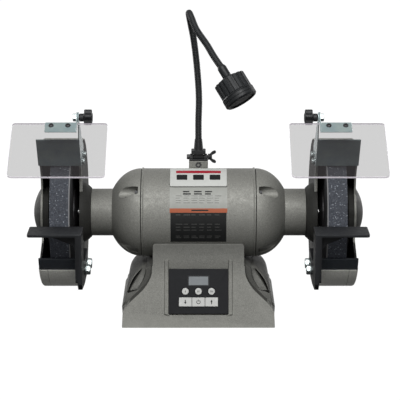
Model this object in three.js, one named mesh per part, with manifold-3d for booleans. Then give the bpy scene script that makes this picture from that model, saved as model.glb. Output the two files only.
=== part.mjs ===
// Bench grinder for two 200 mm wheels, with eye shields, tool rests and a gooseneck lamp.
// Units are millimetres. +Z is up, +X to the operator's right, and the operator stands at -Y.
// The origin is the centre of the base's underside. Most pieces are drawn about the spindle axis.
import * as THREE from 'three';
import { mergeVertices } from 'three/addons/utils/BufferGeometryUtils.js';
import Module from 'manifold-3d';

const wasm = await Module();
wasm.setup();

// ---------- driving dimensions ----------
const GAP = 0.3; // clearance between pieces that touch
const AXIS_HEIGHT = 145; // spindle axis above the bench
const DEGREES = Math.PI / 180;

const MOTOR_RADIUS = 63.5;
const MOTOR_HALF_LENGTH = 82;
const MOTOR_WALL = 5;
const NECK_RADIUS = 34;
const NECK_END = 154; // outer end of the end bell's neck
const BELL_DEPTH = 49.5; // how far the bell's dome would reach past the seam at the axis
const BELL_WALL = 5;
const TIE_BOLT_RADIUS = 54; // circle of the four tie bolts
const TIE_BOLT_COUNT = 4;
const POCKET_START = 86; // floor of the pocket that sinks a tie bolt's end

const WHEEL_RADIUS = 100;
const WHEEL_WIDTH = 28;
const WHEEL_CENTRE = 193.2;
const WHEEL_BORE = 8;
const FLANGE_RADIUS = 35;

const GUARD_RADIUS = 107;
const GUARD_WALL = 3;
const GUARD_INNER_FACE = 166; // motor side of the guard
const GUARD_PLATE = 4;
const GUARD_SEAM = 212; // joint between casting and cover
const GUARD_OUTER_FACE = 225;
const RIM_CHAMFER = 4.5;
const HUB_RADIUS = 43.5;
const PORT_RADIUS = 22.4;
const PORT = { z: -58, wall: 2.6, end: 122 }; // the exhaust port at the guard's back

const DOME_RADIUS = 38;
const DOME_RISE = 13;
const SKIRT = { from: 214, wall: 2.5 }; // the ring inside the cover, below the dome's edge

const BASE_HALF_WIDTH = 108.5;
const BASE_HALF_DEPTH = 92;
const SADDLE_HALF_WIDTH = 65;
const SADDLE_HALF_DEPTH = 62;
const SADDLE_HEIGHT = 115;
const FACE_TILT = Math.atan2(BASE_HALF_DEPTH - SADDLE_HALF_DEPTH, SADDLE_HEIGHT);
const PANEL_HEIGHT = 50; // height of the control panel's centre
const PANEL_HALF_WIDTH = 42.4;
const PANEL_HALF_HEIGHT = 32.2;
const KEY_PITCH = 18.6;

const SHIELD_PIVOT = { y: -85, z: 158 };
const SHIELD_TILT = 57.2 * DEGREES; // the eye shield's lean from vertical
const SHIELD_INNER = 124;
const SHIELD_OUTER = 254.5;
const SHIELD_LENGTH = 100.6;
const SHIELD_THICK = 3;

const BADGE = { from: 93, to: 131, half: 40.5, rise: 2.8 }; // angles are from +Y round towards -Y

const NECK_TUBE_RADIUS = 4.9;
const LAMP_PIVOT = { y: 12, z: 79.5 };
const LAMP_EYE_RADIUS = 4.2;
const LAMP_CHEEK_INNER = 7.8;
const SLEEVE_TOP = 106.1;
const GLAND = { x: 62, z: 24, seat: 86.5 }; // on the sloping back wall

// ---------- materials ----------
function finish(color, roughness, metalness) {
  return new THREE.MeshStandardMaterial({ color, roughness, metalness });
}
const greyPaint = finish(0x8b8c87, 0.45, 0.3);
const blackPaint = finish(0x26272a, 0.5, 0.2);
const blackPlastic = finish(0x232425, 0.55, 0);
const whitePlastic = finish(0xe2e3df, 0.4, 0);
const zinc = finish(0x7d888e, 0.35, 0.9);
const steel = finish(0xa5a7a8, 0.3, 1);
const abrasive = finish(0x4f5357, 0.95, 0);
const clear = finish(0xdadada, 0.1, 0);
const glass = finish(0x7d8285, 0.15, 0);
const copper = finish(0xa5623a, 0.4, 0.8);
const board = finish(0x1f5a3a, 0.6, 0);

// ---------- solids ----------
// A closed geometry becomes a solid whose faces point out.
function toSolid(geometry) {
  const bare = geometry.clone();
  bare.deleteAttribute('normal');
  bare.deleteAttribute('uv');
  const merged = mergeVertices(bare, 1e-3);
  const position = merged.attributes.position;
  const corners = [];
  const a = new THREE.Vector3();
  const b = new THREE.Vector3();
  const c = new THREE.Vector3();
  let volume = 0;
  for (let i = 0; i < merged.index.count; i += 3) {
    const [p, q, r] = [0, 1, 2].map((k) => merged.index.getX(i + k));
    if (p === q || q === r || r === p) continue;
    corners.push(p, q, r);
    a.fromBufferAttribute(position, p);
    b.fromBufferAttribute(position, q);
    c.fromBufferAttribute(position, r);
    volume += a.dot(b.cross(c));
  }
  if (volume < 0) corners.reverse();
  return new wasm.Manifold(new wasm.Mesh({
    numProp: 3,
    vertProperties: Float32Array.from(position.array),
    triVerts: Uint32Array.from(corners),
  }));
}

function toGeometry(solid) {
  const mesh = solid.getMesh();
  const geometry = new THREE.BufferGeometry();
  geometry.setAttribute('position', new THREE.BufferAttribute(mesh.vertProperties, 3));
  geometry.setIndex(new THREE.BufferAttribute(mesh.triVerts, 1));
  geometry.computeVertexNormals();
  return geometry;
}

function placed(solid, matrix) {
  return toSolid(toGeometry(solid).applyMatrix4(matrix));
}

function join(...solids) {
  return solids.reduce((whole, next) => whole.add(next));
}

function cut(solid, ...tools) {
  return tools.reduce((whole, tool) => whole.subtract(tool), solid);
}

function box(x0, x1, y0, y1, z0, z1) {
  const geometry = new THREE.BoxGeometry(x1 - x0, y1 - y0, z1 - z0);
  return toSolid(geometry.translate((x0 + x1) / 2, (y0 + y1) / 2, (z0 + z1) / 2));
}

function rodX(radius, x0, x1, y = 0, z = 0, sides = 24) {
  const geometry = new THREE.CylinderGeometry(radius, radius, x1 - x0, sides);
  return toSolid(geometry.rotateZ(-Math.PI / 2).translate((x0 + x1) / 2, y, z));
}

function rodY(radius, y0, y1, x = 0, z = 0, sides = 24) {
  const geometry = new THREE.CylinderGeometry(radius, radius, y1 - y0, sides);
  return toSolid(geometry.translate(x, (y0 + y1) / 2, z));
}

function rodZ(radius, z0, z1, x = 0, y = 0, sides = 24) {
  const geometry = new THREE.CylinderGeometry(radius, radius, z1 - z0, sides);
  return toSolid(geometry.rotateX(Math.PI / 2).translate(x, y, (z0 + z1) / 2));
}

// Turned about the X axis. The profile's points are [x, radius].
function turnedX(profile, sides = 48) {
  const points = profile.map(([x, radius]) => new THREE.Vector2(radius, x));
  return toSolid(new THREE.LatheGeometry(points, sides).rotateZ(-Math.PI / 2));
}

// A closed ring profile turned about X.
function ringX(profile, sides = 48) {
  return turnedX([...profile, profile[0]], sides);
}

function outline(points) {
  return new THREE.Shape(points.map(([u, v]) => new THREE.Vector2(u, v)));
}

function sector(inner, outer, from, to) {
  const shape = new THREE.Shape();
  shape.absarc(0, 0, outer, from, to, false);
  shape.absarc(0, 0, inner, to, from, true);
  return shape;
}

function extruded(shape, depth, basis, offset, curveSegments) {
  const geometry = new THREE.ExtrudeGeometry(shape, { depth, bevelEnabled: false, curveSegments });
  const matrix = new THREE.Matrix4().makeBasis(...basis).setPosition(...offset);
  return toSolid(geometry.applyMatrix4(matrix));
}

const X = new THREE.Vector3(1, 0, 0);
const Y = new THREE.Vector3(0, 1, 0);
const Z = new THREE.Vector3(0, 0, 1);

// A (y, z) outline extruded along X, and an (x, z) outline extruded along Y.
function prismX(shape, x0, x1, curveSegments = 12) {
  return extruded(shape, x1 - x0, [Y, Z, X], [x0, 0, 0], curveSegments);
}
function prismY(shape, y0, y1, curveSegments = 12) {
  return extruded(shape, y1 - y0, [X, Z, Y.clone().negate()], [0, y1, 0], curveSegments);
}

// ---------- assembly ----------
const grinder = new THREE.Group();
const spindleFrame = new THREE.Group();
spindleFrame.position.z = AXIS_HEIGHT;
grinder.add(spindleFrame);

function add(parent, name, solid, material) {
  const mesh = new THREE.Mesh(toGeometry(solid), material);
  mesh.name = name;
  parent.add(mesh);
  return mesh;
}

// A piece drawn on the right side and repeated as its mirror image on the left.
function addPair(parent, name, solid, material) {
  add(parent, `${name}_right`, solid, material);
  add(parent, `${name}_left`, solid, material).scale.x = -1;
}

// ---------- base ----------
function mirrored(halfOutline) {
  return [...halfOutline, ...halfOutline.map(([u, v]) => [-u, v]).reverse()];
}

// Half width of the front and back shells against height: an S-curve below a straight saddle.
function shellOutline(extra) {
  const start = [BASE_HALF_WIDTH, 0];
  const curve = new THREE.CubicBezierCurve(
    new THREE.Vector2(107.5, 22),
    new THREE.Vector2(95, 44),
    new THREE.Vector2(66.5 + extra, 50),
    new THREE.Vector2(66 + extra, 84 - extra),
  );
  const points = curve.getPoints(8).map((p) => [p.x + extra * 0.3, p.y]);
  return mirrored([start, ...points, [SADDLE_HALF_WIDTH, 86], [SADDLE_HALF_WIDTH, SADDLE_HEIGHT]]);
}

function lobeOutline() {
  const curve = new THREE.SplineCurve([[BASE_HALF_WIDTH, 0], [106.5, 18], [103.5, 38], [100, 52],
    [91.5, 66.5], [80, 75.5]].map(([u, v]) => new THREE.Vector2(u, v)));
  return mirrored([...curve.getPoints(9).map((p) => [p.x, p.y]), [60, 78.5]]);
}

function saddleSide() {
  return outline([[-BASE_HALF_DEPTH, 0], [BASE_HALF_DEPTH, 0],
    [SADDLE_HALF_DEPTH, SADDLE_HEIGHT], [-SADDLE_HALF_DEPTH, SADDLE_HEIGHT]]);
}

function lobeSide() {
  const half = [[70, 0], [66, 30], [58, 52], [44, 68], [26, 78], [20, 80]];
  return outline(mirrored(half));
}

const faceMatrix = new THREE.Matrix4().makeRotationX(-FACE_TILT).setPosition(
  0,
  -BASE_HALF_DEPTH + Math.tan(FACE_TILT) * PANEL_HEIGHT,
  PANEL_HEIGHT,
);

// The recess for the panel, drawn in the tilted frame of the front face: y is the depth.
function panelRecess() {
  const top = PANEL_HALF_HEIGHT;
  const depth = 4;
  const low = -top - 0.5;
  const dish = outline([[-4, top + 12], [0, top + 12], [depth, top], [depth, low], [-4, low]]);
  return join(
    prismX(dish, -PANEL_HALF_WIDTH, PANEL_HALF_WIDTH),
    box(-PANEL_HALF_WIDTH + 3, PANEL_HALF_WIDTH - 3, depth - 1, 18, -top + 3, top - 3),
  );
}

function panelRib(side) {
  return box(side * 45 - 3, side * 45 + 3, -2, 2, -PANEL_HALF_HEIGHT - 1, PANEL_HALF_HEIGHT + 12);
}

const PLATE_HALF_WIDTH = 96;
const PLATE_HALF_DEPTH = 82;
const PLATE_THICK = 2;
const STUD_PLACES = [[-78, -64], [78, -64], [-78, 64], [78, 64]];

function baseCavity() {
  const front = outline(mirrored([[88, -1], [88, 14], [82, 32], [58, 64]]));
  const side = outline(mirrored([[76, -1], [76, 10], [64, 64]]));
  return prismY(front, -90, 90).intersect(prismX(side, -100, 100));
}

function baseCasting() {
  const shell = prismY(outline(shellOutline(0)), -BASE_HALF_DEPTH - 2, BASE_HALF_DEPTH + 2);
  const step = prismY(outline(shellOutline(7)), -60, 60);
  const lobe = prismY(outline(lobeOutline()), -72, 72).intersect(prismX(lobeSide(), -110, 110));
  let casting = join(shell, step).intersect(prismX(saddleSide(), -110, 110));
  casting = join(casting, lobe);
  const cradle = rodX(MOTOR_RADIUS + 0.5, -90, 90, 0, AXIS_HEIGHT, 32);
  casting = cut(casting, cradle, baseCavity());
  for (const [x, y] of STUD_PLACES) {
    casting = join(casting, rodZ(8, PLATE_THICK + GAP, 40, x, y, 8));
  }
  for (const [x, y] of STUD_PLACES) {
    casting = cut(casting, rodZ(3.4, 0, 24, x, y, 6));
  }
  casting = join(casting, placed(panelRib(-1), faceMatrix), placed(panelRib(1), faceMatrix));
  const w = PLATE_HALF_WIDTH + GAP;
  const d = PLATE_HALF_DEPTH + GAP;
  return cut(
    casting,
    placed(panelRecess(), faceMatrix),
    box(-w, w, -d, d, -1, PLATE_THICK + GAP),
    rodZ(8, 50, 90, 0, 0, 16),
    rodY(6.3, 60, 95, GLAND.x, GLAND.z, 12),
  );
}

function basePlate() {
  const plate = box(-PLATE_HALF_WIDTH, PLATE_HALF_WIDTH, -PLATE_HALF_DEPTH, PLATE_HALF_DEPTH, 0, PLATE_THICK);
  const holes = STUD_PLACES.map(([x, y]) => rodZ(4.2, -1, 3, x, y, 8));
  const standoffs = [[-45, -35], [45, -35], [-45, 35], [45, 35]].map(
    ([x, y]) => rodZ(4, PLATE_THICK - 0.5, 12, x, y, 6),
  );
  return cut(join(plate, ...standoffs), ...holes);
}

function driveBoard() {
  const sheet = box(-52, 52, -42, 42, 12.3, 14);
  const heatSink = box(-50, -20, -38, 38, 13.5, 19);
  const fins = Array.from({ length: 6 }, (_, i) => box(-49 + i * 5.2, -47 + i * 5.2, -38, 38, 18, 36));
  const capacitors = [-20, 10].map((y) => rodZ(11, 13.5, 44, 5, y, 20));
  const choke = box(24, 48, -20, 16, 13.5, 34);
  return join(sheet, heatSink, ...fins, ...capacitors, choke);
}

function cableGland() {
  const { x, z, seat } = GLAND;
  const body = join(
    rodY(6, 78, 98, x, z, 12),
    rodY(9.5, seat, 98, x, z, 6),
    rodY(8, 97, 106, x, z, 16),
  );
  return cut(body, rodY(3.6, 77, 107, x, z, 12));
}

// A flat on the sloping back wall seats the gland's hexagon.
function glandSeat() {
  return rodY(11, GLAND.seat - GAP, BASE_HALF_DEPTH + 3, GLAND.x, GLAND.z, 20);
}

add(grinder, 'base_casting', cut(baseCasting(), glandSeat()), greyPaint);
add(grinder, 'base_bottom_plate', basePlate(), steel);
add(grinder, 'drive_board', driveBoard(), board);
add(grinder, 'cable_gland', cableGland(), blackPlastic);

// ---------- control panel ----------
const panelFrame = new THREE.Group();
panelFrame.applyMatrix4(faceMatrix);
grinder.add(panelFrame);

const PANEL_FRONT = 1.2; // depth of the panel's front below the casting's face
const DISPLAY_Z = 15;
const DISPLAY_HALF = { width: 13.8, height: 6.2 };
const PRESET_Z = 0;
const KEY_Z = -15;
const PRESET_RADIUS = 4.75;
const KEY_SIZE = { width: 18, height: 12.6 };

function controlPanel() {
  const w = PANEL_HALF_WIDTH - GAP;
  const h = PANEL_HALF_HEIGHT - GAP;
  const slot = 1.5 * KEY_PITCH + GAP;
  const windowX = DISPLAY_HALF.width + GAP;
  const windowZ = DISPLAY_HALF.height + GAP;
  const plate = box(-w, w, PANEL_FRONT, 4 - GAP, -h, h);
  const holes = [-1, 0, 1].map((k) => rodY(PRESET_RADIUS + GAP, 0, 5, k * KEY_PITCH, PRESET_Z, 24));
  return cut(
    plate,
    box(-windowX, windowX, 0, 5, DISPLAY_Z - windowZ, DISPLAY_Z + windowZ),
    box(-slot, slot, 0, 5, KEY_Z - KEY_SIZE.height / 2 - GAP, KEY_Z + KEY_SIZE.height / 2 + GAP),
    ...holes,
  );
}

function displayWindow() {
  const half = DISPLAY_HALF.width;
  const z0 = DISPLAY_Z - DISPLAY_HALF.height;
  return box(-half, half, PANEL_FRONT + 0.4, 8, z0, z0 + 2 * DISPLAY_HALF.height);
}

function presetButton(k) {
  return rodY(PRESET_RADIUS, PANEL_FRONT - 1.5, 6, k * KEY_PITCH, PRESET_Z, 24);
}

function key(k) {
  const x = k * KEY_PITCH;
  const { width, height } = KEY_SIZE;
  const half = height / 2;
  return box(x - width / 2, x + width / 2, PANEL_FRONT - 1.8, 6, KEY_Z - half, KEY_Z + half);
}

add(panelFrame, 'control_panel', controlPanel(), blackPlastic);
add(panelFrame, 'display_window', displayWindow(), glass);
['low', 'mid', 'high'].forEach((word, i) => {
  add(panelFrame, `preset_${word}`, presetButton(i - 1), whitePlastic);
});
['down', 'power', 'up'].forEach((word, i) => {
  add(panelFrame, `key_${word}`, key(i - 1), whitePlastic);
});

// ---------- motor ----------
function motorFrame() {
  const end = MOTOR_HALF_LENGTH - GAP / 2;
  const bore = MOTOR_RADIUS - MOTOR_WALL;
  const bead = MOTOR_RADIUS + 1.2;
  const tube = ringX([[-end, bore], [-end, bead], [-end + 2, bead], [-end + 3, MOTOR_RADIUS],
    [end - 3, MOTOR_RADIUS], [end - 2, bead], [end, bead], [end, bore]], 36);
  return cut(tube, rodZ(8, -70, -50, 0, 0, 16));
}

const SLOT_COUNT = 8;
const STATOR_HALF_LENGTH = 38;
const STATOR_BORE = 36;

function statorSlot(grow, x0, x1) {
  const half = 3.4 + grow;
  const wide = half + 0.8;
  const bar = outline([[40 - grow, -half], [49 + grow, -wide], [49 + grow, wide], [40 - grow, half]]);
  return prismX(bar, x0, x1);
}

function around(solid, count, first = 0) {
  const turns = Array.from({ length: count }, (_, i) => first + (i * 2 * Math.PI) / count);
  return turns.map((angle) => placed(solid, new THREE.Matrix4().makeRotationX(angle)));
}

function statorCore() {
  const h = STATOR_HALF_LENGTH;
  const outer = MOTOR_RADIUS - MOTOR_WALL - GAP;
  const ring = ringX([[-h, STATOR_BORE], [-h, outer], [h, outer], [h, STATOR_BORE]], 20);
  const slots = around(statorSlot(GAP, -h - 1, h + 1), SLOT_COUNT);
  const boltWays = around(rodX(3.4, -h - 1, h + 1, TIE_BOLT_RADIUS, 0, 6), TIE_BOLT_COUNT, Math.PI / 4);
  return cut(ring, ...slots, ...boltWays);
}

function statorWindings() {
  const h = STATOR_HALF_LENGTH + GAP;
  const endTurn = (x0, x1) => ringX([[x0, 39], [x0, 50], [x1, 49], [x1, 41]], 20);
  const bars = around(statorSlot(0, -h - 1, h + 1), SLOT_COUNT);
  return join(endTurn(h, h + 16), endTurn(-h, -h - 16), ...bars);
}

function bellDome(x, inset) {
  const reach = (x - MOTOR_HALF_LENGTH) / (BELL_DEPTH - inset);
  return (MOTOR_RADIUS - inset) * Math.sqrt(1 - reach * reach);
}

const BEARING_START = 136;
const BEARING_WIDTH = 14;
const BEARING_RADIUS = 23.5;

function endBell() {
  const seam = MOTOR_HALF_LENGTH + GAP / 2;
  const domeEnd = MOTOR_HALF_LENGTH + BELL_DEPTH * Math.sqrt(1 - (NECK_RADIUS / MOTOR_RADIUS) ** 2);
  const steps = 5;
  const outer = Array.from({ length: steps + 1 }, (_, i) => {
    const x = seam + (domeEnd - seam) * Math.sin((i / steps) * 0.5 * Math.PI);
    return [x, bellDome(x, 0)];
  });
  const skin = turnedX([[seam, 0], ...outer, [NECK_END, NECK_RADIUS], [NECK_END, 0]], 28);
  const innerEnd = domeEnd - BELL_WALL;
  const inner = Array.from({ length: 3 }, (_, i) => {
    const x = seam + ((innerEnd - seam) * i) / 2;
    return [x, bellDome(x, BELL_WALL)];
  });
  const seat = BEARING_RADIUS + GAP;
  const bearingEnd = BEARING_START + BEARING_WIDTH + GAP;
  const hollow = turnedX([[seam - 1, 0], [seam - 1, MOTOR_RADIUS - BELL_WALL], ...inner,
    [innerEnd, seat], [bearingEnd, seat], [bearingEnd, 0]], 20);
  const bosses = around(rodX(9, seam, 116, TIE_BOLT_RADIUS, 0, 6), TIE_BOLT_COUNT, Math.PI / 4);
  const pockets = around(rodX(8, POCKET_START, 125, TIE_BOLT_RADIUS + 3, 0, 12), TIE_BOLT_COUNT, Math.PI / 4);
  const holes = around(rodX(3.1, 80, 95, TIE_BOLT_RADIUS, 0, 6), TIE_BOLT_COUNT, Math.PI / 4);
  const shell = cut(skin, hollow);
  const grown = join(shell, ...bosses.map((boss) => boss.intersect(skin)));
  return cut(grown, ...pockets, ...holes, rodX(11.5, 140, 160, 0, 0, 16));
}

function bearing() {
  const x0 = BEARING_START;
  const x1 = BEARING_START + BEARING_WIDTH;
  return ringX([[x0, 10 + GAP], [x0, 14], [x0 + 1.5, 17], [x0, 20], [x0, BEARING_RADIUS],
    [x1, BEARING_RADIUS], [x1, 10 + GAP]], 16);
}

// A through bolt: hexagon head in the left bell's pocket, nut in the right one's.
function tieBolt(index) {
  const length = POCKET_START + GAP;
  const bolt = join(
    rodX(2.5, -length - 3, length + 3, TIE_BOLT_RADIUS, 0, 8),
    rodX(4.2, -length - 4, -length, TIE_BOLT_RADIUS, 0, 6),
    rodX(4.2, length, length + 4, TIE_BOLT_RADIUS, 0, 6),
  );
  const angle = Math.PI / 4 + (index * 2 * Math.PI) / TIE_BOLT_COUNT;
  return placed(bolt, new THREE.Matrix4().makeRotationX(angle));
}

// The badge is a curved plate on the upper front of the frame.
function badgePlate() {
  const { from, to, half, rise } = BADGE;
  const shape = sector(MOTOR_RADIUS + GAP, MOTOR_RADIUS + rise, from * DEGREES, to * DEGREES);
  return prismX(shape, -half, half, 12);
}

add(spindleFrame, 'motor_frame', motorFrame(), greyPaint);
add(spindleFrame, 'stator_core', statorCore(), steel);
add(spindleFrame, 'stator_windings', statorWindings(), copper);
addPair(spindleFrame, 'end_bell', endBell(), greyPaint);
addPair(spindleFrame, 'bearing', bearing(), steel);
for (let i = 0; i < TIE_BOLT_COUNT; i += 1) {
  add(spindleFrame, `tie_bolt_${i + 1}`, tieBolt(i), steel);
}
add(spindleFrame, 'badge_plate', badgePlate(), whitePlastic);

// ---------- spindle ----------
const WHEEL_START = WHEEL_CENTRE - WHEEL_WIDTH / 2;
const WHEEL_END = WHEEL_CENTRE + WHEEL_WIDTH / 2;
const SHAFT_END = 228;

function shaft() {
  const seat = WHEEL_BORE - GAP;
  const right = [[60, 12], [60.5, 10], [172, 10], [172, seat], [SHAFT_END - 1, seat], [SHAFT_END, seat - 1]];
  const left = right.map(([x, radius]) => [-x, radius]).reverse();
  return turnedX([[-SHAFT_END, 0], ...left, ...right, [SHAFT_END, 0]], 14);
}

function rotor() {
  const h = 37;
  const r = STATOR_BORE - 0.5;
  return ringX([[-h - 6, 26], [-h - 6, r - 3], [-h, r], [h, r], [h + 6, r - 3], [h + 6, 26],
    [h, 12 + GAP], [-h, 12 + GAP]], 16);
}

function wheel() {
  const bore = WHEEL_BORE + GAP;
  return ringX([[WHEEL_START, bore], [WHEEL_START, WHEEL_RADIUS - 1.2], [WHEEL_START + 1.2, WHEEL_RADIUS],
    [WHEEL_END, WHEEL_RADIUS], [WHEEL_END, bore]], 40);
}

function innerFlange() {
  const x1 = WHEEL_START - GAP;
  const x0 = x1 - 5;
  return ringX([[x0, WHEEL_BORE + GAP], [x0, 18], [x1 - 1.5, FLANGE_RADIUS], [x1, FLANGE_RADIUS],
    [x1, WHEEL_BORE + GAP]], 20);
}

function outerFlange() {
  const x0 = WHEEL_END + GAP;
  const x1 = x0 + 4;
  return ringX([[x0, WHEEL_BORE + GAP], [x0, FLANGE_RADIUS], [x0 + 1.5, FLANGE_RADIUS], [x1, 20],
    [x1, WHEEL_BORE + GAP]], 20);
}

function spindleNut() {
  const x0 = WHEEL_END + 2 * GAP + 4;
  return cut(rodX(13.5, x0, x0 + 12, 0, 0, 6), rodX(WHEEL_BORE + GAP, x0 - 1, x0 + 13, 0, 0, 16));
}

add(spindleFrame, 'shaft', shaft(), steel);
add(spindleFrame, 'rotor', rotor(), steel);
addPair(spindleFrame, 'wheel', wheel(), abrasive);
addPair(spindleFrame, 'inner_flange', innerFlange(), steel);
addPair(spindleFrame, 'outer_flange', outerFlange(), steel);
addPair(spindleFrame, 'spindle_nut', spindleNut(), steel);

// ---------- guards ----------
const LIP_ANGLE = 215.5 * DEGREES; // lower end of the grey rim, measured from +Y
const LIP_TOP = 204 * DEGREES; // upper edge of the thin lip above it
const REST_BOLTS = [{ y: -44, z: -64 }, { y: -74, z: -64 }];

// Everything in front of the guard's mouth, as a (y, z) outline.
function mouth() {
  const shape = new THREE.Shape();
  shape.moveTo(-150, -60.5);
  shape.lineTo(-86, -60.5);
  shape.lineTo(-36, -36);
  shape.quadraticCurveTo(-24, -28, -24, 0);
  shape.lineTo(-24, 50);
  shape.quadraticCurveTo(-24, 76, -58, 90);
  shape.lineTo(-90, 150);
  shape.lineTo(-150, 150);
  return shape;
}

function guardLip() {
  const lip = sector(GUARD_RADIUS - 4.7, GUARD_RADIUS - 1.7, LIP_TOP, LIP_ANGLE + 1.5 * DEGREES);
  return prismX(lip, GUARD_INNER_FACE + 0.5, GUARD_SEAM, 8);
}

function innerGuard() {
  const x0 = GUARD_INNER_FACE;
  const seam = GUARD_SEAM - GAP / 2;
  const inner = GUARD_RADIUS - GUARD_WALL;
  const drum = rodX(GUARD_RADIUS, x0, seam, 0, 0, 44);
  const portX = (x0 + GUARD_SEAM) / 2;
  const port = rodY(PORT_RADIUS, 60, PORT.end, portX, PORT.z, 18);
  const hollow = rodX(inner, x0 + GUARD_PLATE, GUARD_SEAM + 1, 0, 0, 44);
  const hub = turnedX([[NECK_END + GAP, 0], [NECK_END + GAP, NECK_RADIUS], [x0 - 7, 39], [x0 - 2, 42.5],
    [x0 + 1, HUB_RADIUS], [x0 + GUARD_PLATE, HUB_RADIUS], [x0 + GUARD_PLATE, 0]], 24);
  const bosses = REST_BOLTS.map(({ y, z }) => rodX(8, x0 + 1, x0 + 8, y, z, 8));
  const opening = prismX(mouth(), x0 - 1, GUARD_SEAM + 1, 8);
  const boltHoles = REST_BOLTS.map(({ y, z }) => rodX(4.4, x0 - 1, x0 + 7, y, z, 8));
  return cut(
    join(cut(join(drum, port), hollow, opening), hub, guardLip(), ...bosses),
    rodX(13, 140, 180, 0, 0, 16),
    rodY(PORT_RADIUS - PORT.wall, 60, PORT.end + 3, portX, PORT.z, 18),
    ...boltHoles,
  );
}

function domeProfile(inset, base) {
  const sphere = (DOME_RADIUS ** 2 + DOME_RISE ** 2) / (2 * DOME_RISE);
  const centre = GUARD_OUTER_FACE + DOME_RISE - sphere;
  const radius = sphere - inset;
  const half = Math.acos((base - centre) / radius);
  const steps = 3;
  return Array.from({ length: steps + 1 }, (_, i) => {
    const angle = half * (1 - i / steps);
    return [centre + radius * Math.cos(angle), i === steps ? 0 : radius * Math.sin(angle)];
  });
}

// The cover keeps its whole dome, so its mouth bends round the dome's front.
function outerCover() {
  const seam = GUARD_SEAM + GAP / 2;
  const face = GUARD_OUTER_FACE;
  const skin = turnedX([[seam, 0], [seam, GUARD_RADIUS], [face - RIM_CHAMFER, GUARD_RADIUS],
    [face - 1.5, GUARD_RADIUS - 2], [face, GUARD_RADIUS - RIM_CHAMFER],
    ...domeProfile(0, face)], 40);
  const inner = face - GUARD_WALL;
  const bore = GUARD_RADIUS - GUARD_WALL;
  const hollow = turnedX([[seam - 1, 0], [seam - 1, bore], [inner - RIM_CHAMFER + 1, bore],
    [inner, bore - RIM_CHAMFER + 1], ...domeProfile(GUARD_WALL, inner)], 30);
  const domeRoom = rodX(DOME_RADIUS + 2, seam - 2, 241, 0, 0, 30);
  const opening = prismX(mouth(), seam - 1, 240, 8).subtract(domeRoom);
  const ring = [[SKIRT.from, DOME_RADIUS - SKIRT.wall], [SKIRT.from, DOME_RADIUS],
    [inner + 1, DOME_RADIUS], [inner + 1, DOME_RADIUS - SKIRT.wall]];
  return join(cut(skin, hollow, opening), ringX(ring, 30));
}

function restBolt({ y, z }) {
  return join(
    rodX(4, 158.6, GUARD_INNER_FACE + 6.5, y, z, 10),
    rodX(8, 158.1, 159.4, y, z, 16),
    rodX(7.5, 152.6, 158.4, y, z, 6),
  );
}

addPair(spindleFrame, 'inner_guard', innerGuard(), greyPaint);
addPair(spindleFrame, 'outer_cover', outerCover(), greyPaint);
REST_BOLTS.forEach((place, i) => addPair(spindleFrame, `rest_bolt_${i + 1}`, restBolt(place), zinc));

// ---------- tool rest ----------
const REST = { top: 7.8, thick: 4, back: -104, front: -146, arm: 159.7, outer: 234 };
const REST_SLOT = { z: -64, radius: 4.4, from: -84, to: -33 };

function toolRest() {
  const { top, thick, back, front, arm, outer } = REST;
  const table = box(arm, outer, front, back, top - thick, top);
  const plate = outline([[front, top - 1], [front, -64], [front + 8, -73.5], [-92, -79.5],
    [-22, -79.5], [-22, -47], [-90, -47], [-108, -38], [-108, top - 1]]);
  const arms = prismX(plate, arm, 165.7);
  const frontFlange = box(arm, 168.7, front, front + 34, -62, top - 1);
  const web = outline([[165, top - 2], [214, top - 2], [196, top - 9], [174, top - 18], [165, top - 34]]);
  const gusset = prismY(web, front + 12, front + 18);
  const { z, radius, from, to } = REST_SLOT;
  const slot = join(
    box(arm - 1, 170, from, to, z - radius, z + radius),
    rodX(radius, arm - 1, 170, from, z, 12),
    rodX(radius, arm - 1, 170, to, z, 12),
  );
  return cut(join(table, arms, frontFlange, gusset), slot);
}

addPair(spindleFrame, 'tool_rest', toolRest(), blackPaint);

// ---------- spark arrestor and its bracket ----------
const SHEET = 1.5;
const ARRESTOR = { low: [-62, 84], high: [-88, 127], outer: 224, side: 163.9 };

function sparkArrestor() {
  const [lowY, lowZ] = ARRESTOR.low;
  const [highY, highZ] = ARRESTOR.high;
  const lean = new THREE.Vector2(highY - lowY, highZ - lowZ).normalize();
  const normal = new THREE.Vector2(lean.y, -lean.x);
  const [stepY, stepZ] = [normal.x * SHEET, normal.y * SHEET];
  const plate = outline([[lowY, lowZ], [highY, highZ], [highY + stepY, highZ + stepZ],
    [lowY + stepY, lowZ + stepZ]]);
  const { y, z } = SHIELD_PIVOT;
  const side = new THREE.Shape();
  side.moveTo(lowY, lowZ);
  side.lineTo(-14, 76);
  side.lineTo(-14, 104);
  side.lineTo(-48, 124);
  side.lineTo(y + 6.5, z - 3);
  side.absarc(y, z, 7.2, -25 * DEGREES, 190 * DEGREES, false);
  side.lineTo(highY, highZ);
  const { side: x0, outer } = ARRESTOR;
  const slots = [[-24, 90], [-48, 86]].map(([sy, sz]) => {
    const run = [lean.x * 8, lean.y * 8];
    const across = [normal.x * 2.8, normal.y * 2.8];
    const corners = [[-1, -1], [1, -1], [1, 1], [-1, 1]];
    return prismX(outline(corners.map(([u, v]) => [sy + u * run[0] + v * across[0],
      sz + u * run[1] + v * across[1]])), x0 - 1, x0 + 3);
  });
  return cut(
    join(prismX(plate, x0, outer), prismX(side, x0, x0 + SHEET, 16)),
    rodX(3 + GAP, x0 - 1, x0 + 3, y, z, 20),
    ...slots,
  );
}

addPair(spindleFrame, 'spark_arrestor', sparkArrestor(), zinc);

// ---------- eye shield ----------
const EAR_START = ARRESTOR.side + SHEET + GAP;
const PANE_FRONT = -1.1; // the pane's outer face, measured from the pivot along its inward normal
const CLAMP_SCREWS = [178, 201];
const STRIP_END = 209.5;
const PANE_TOP = -11.8; // the pane's upper edge, measured from the pivot along its slope

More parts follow.
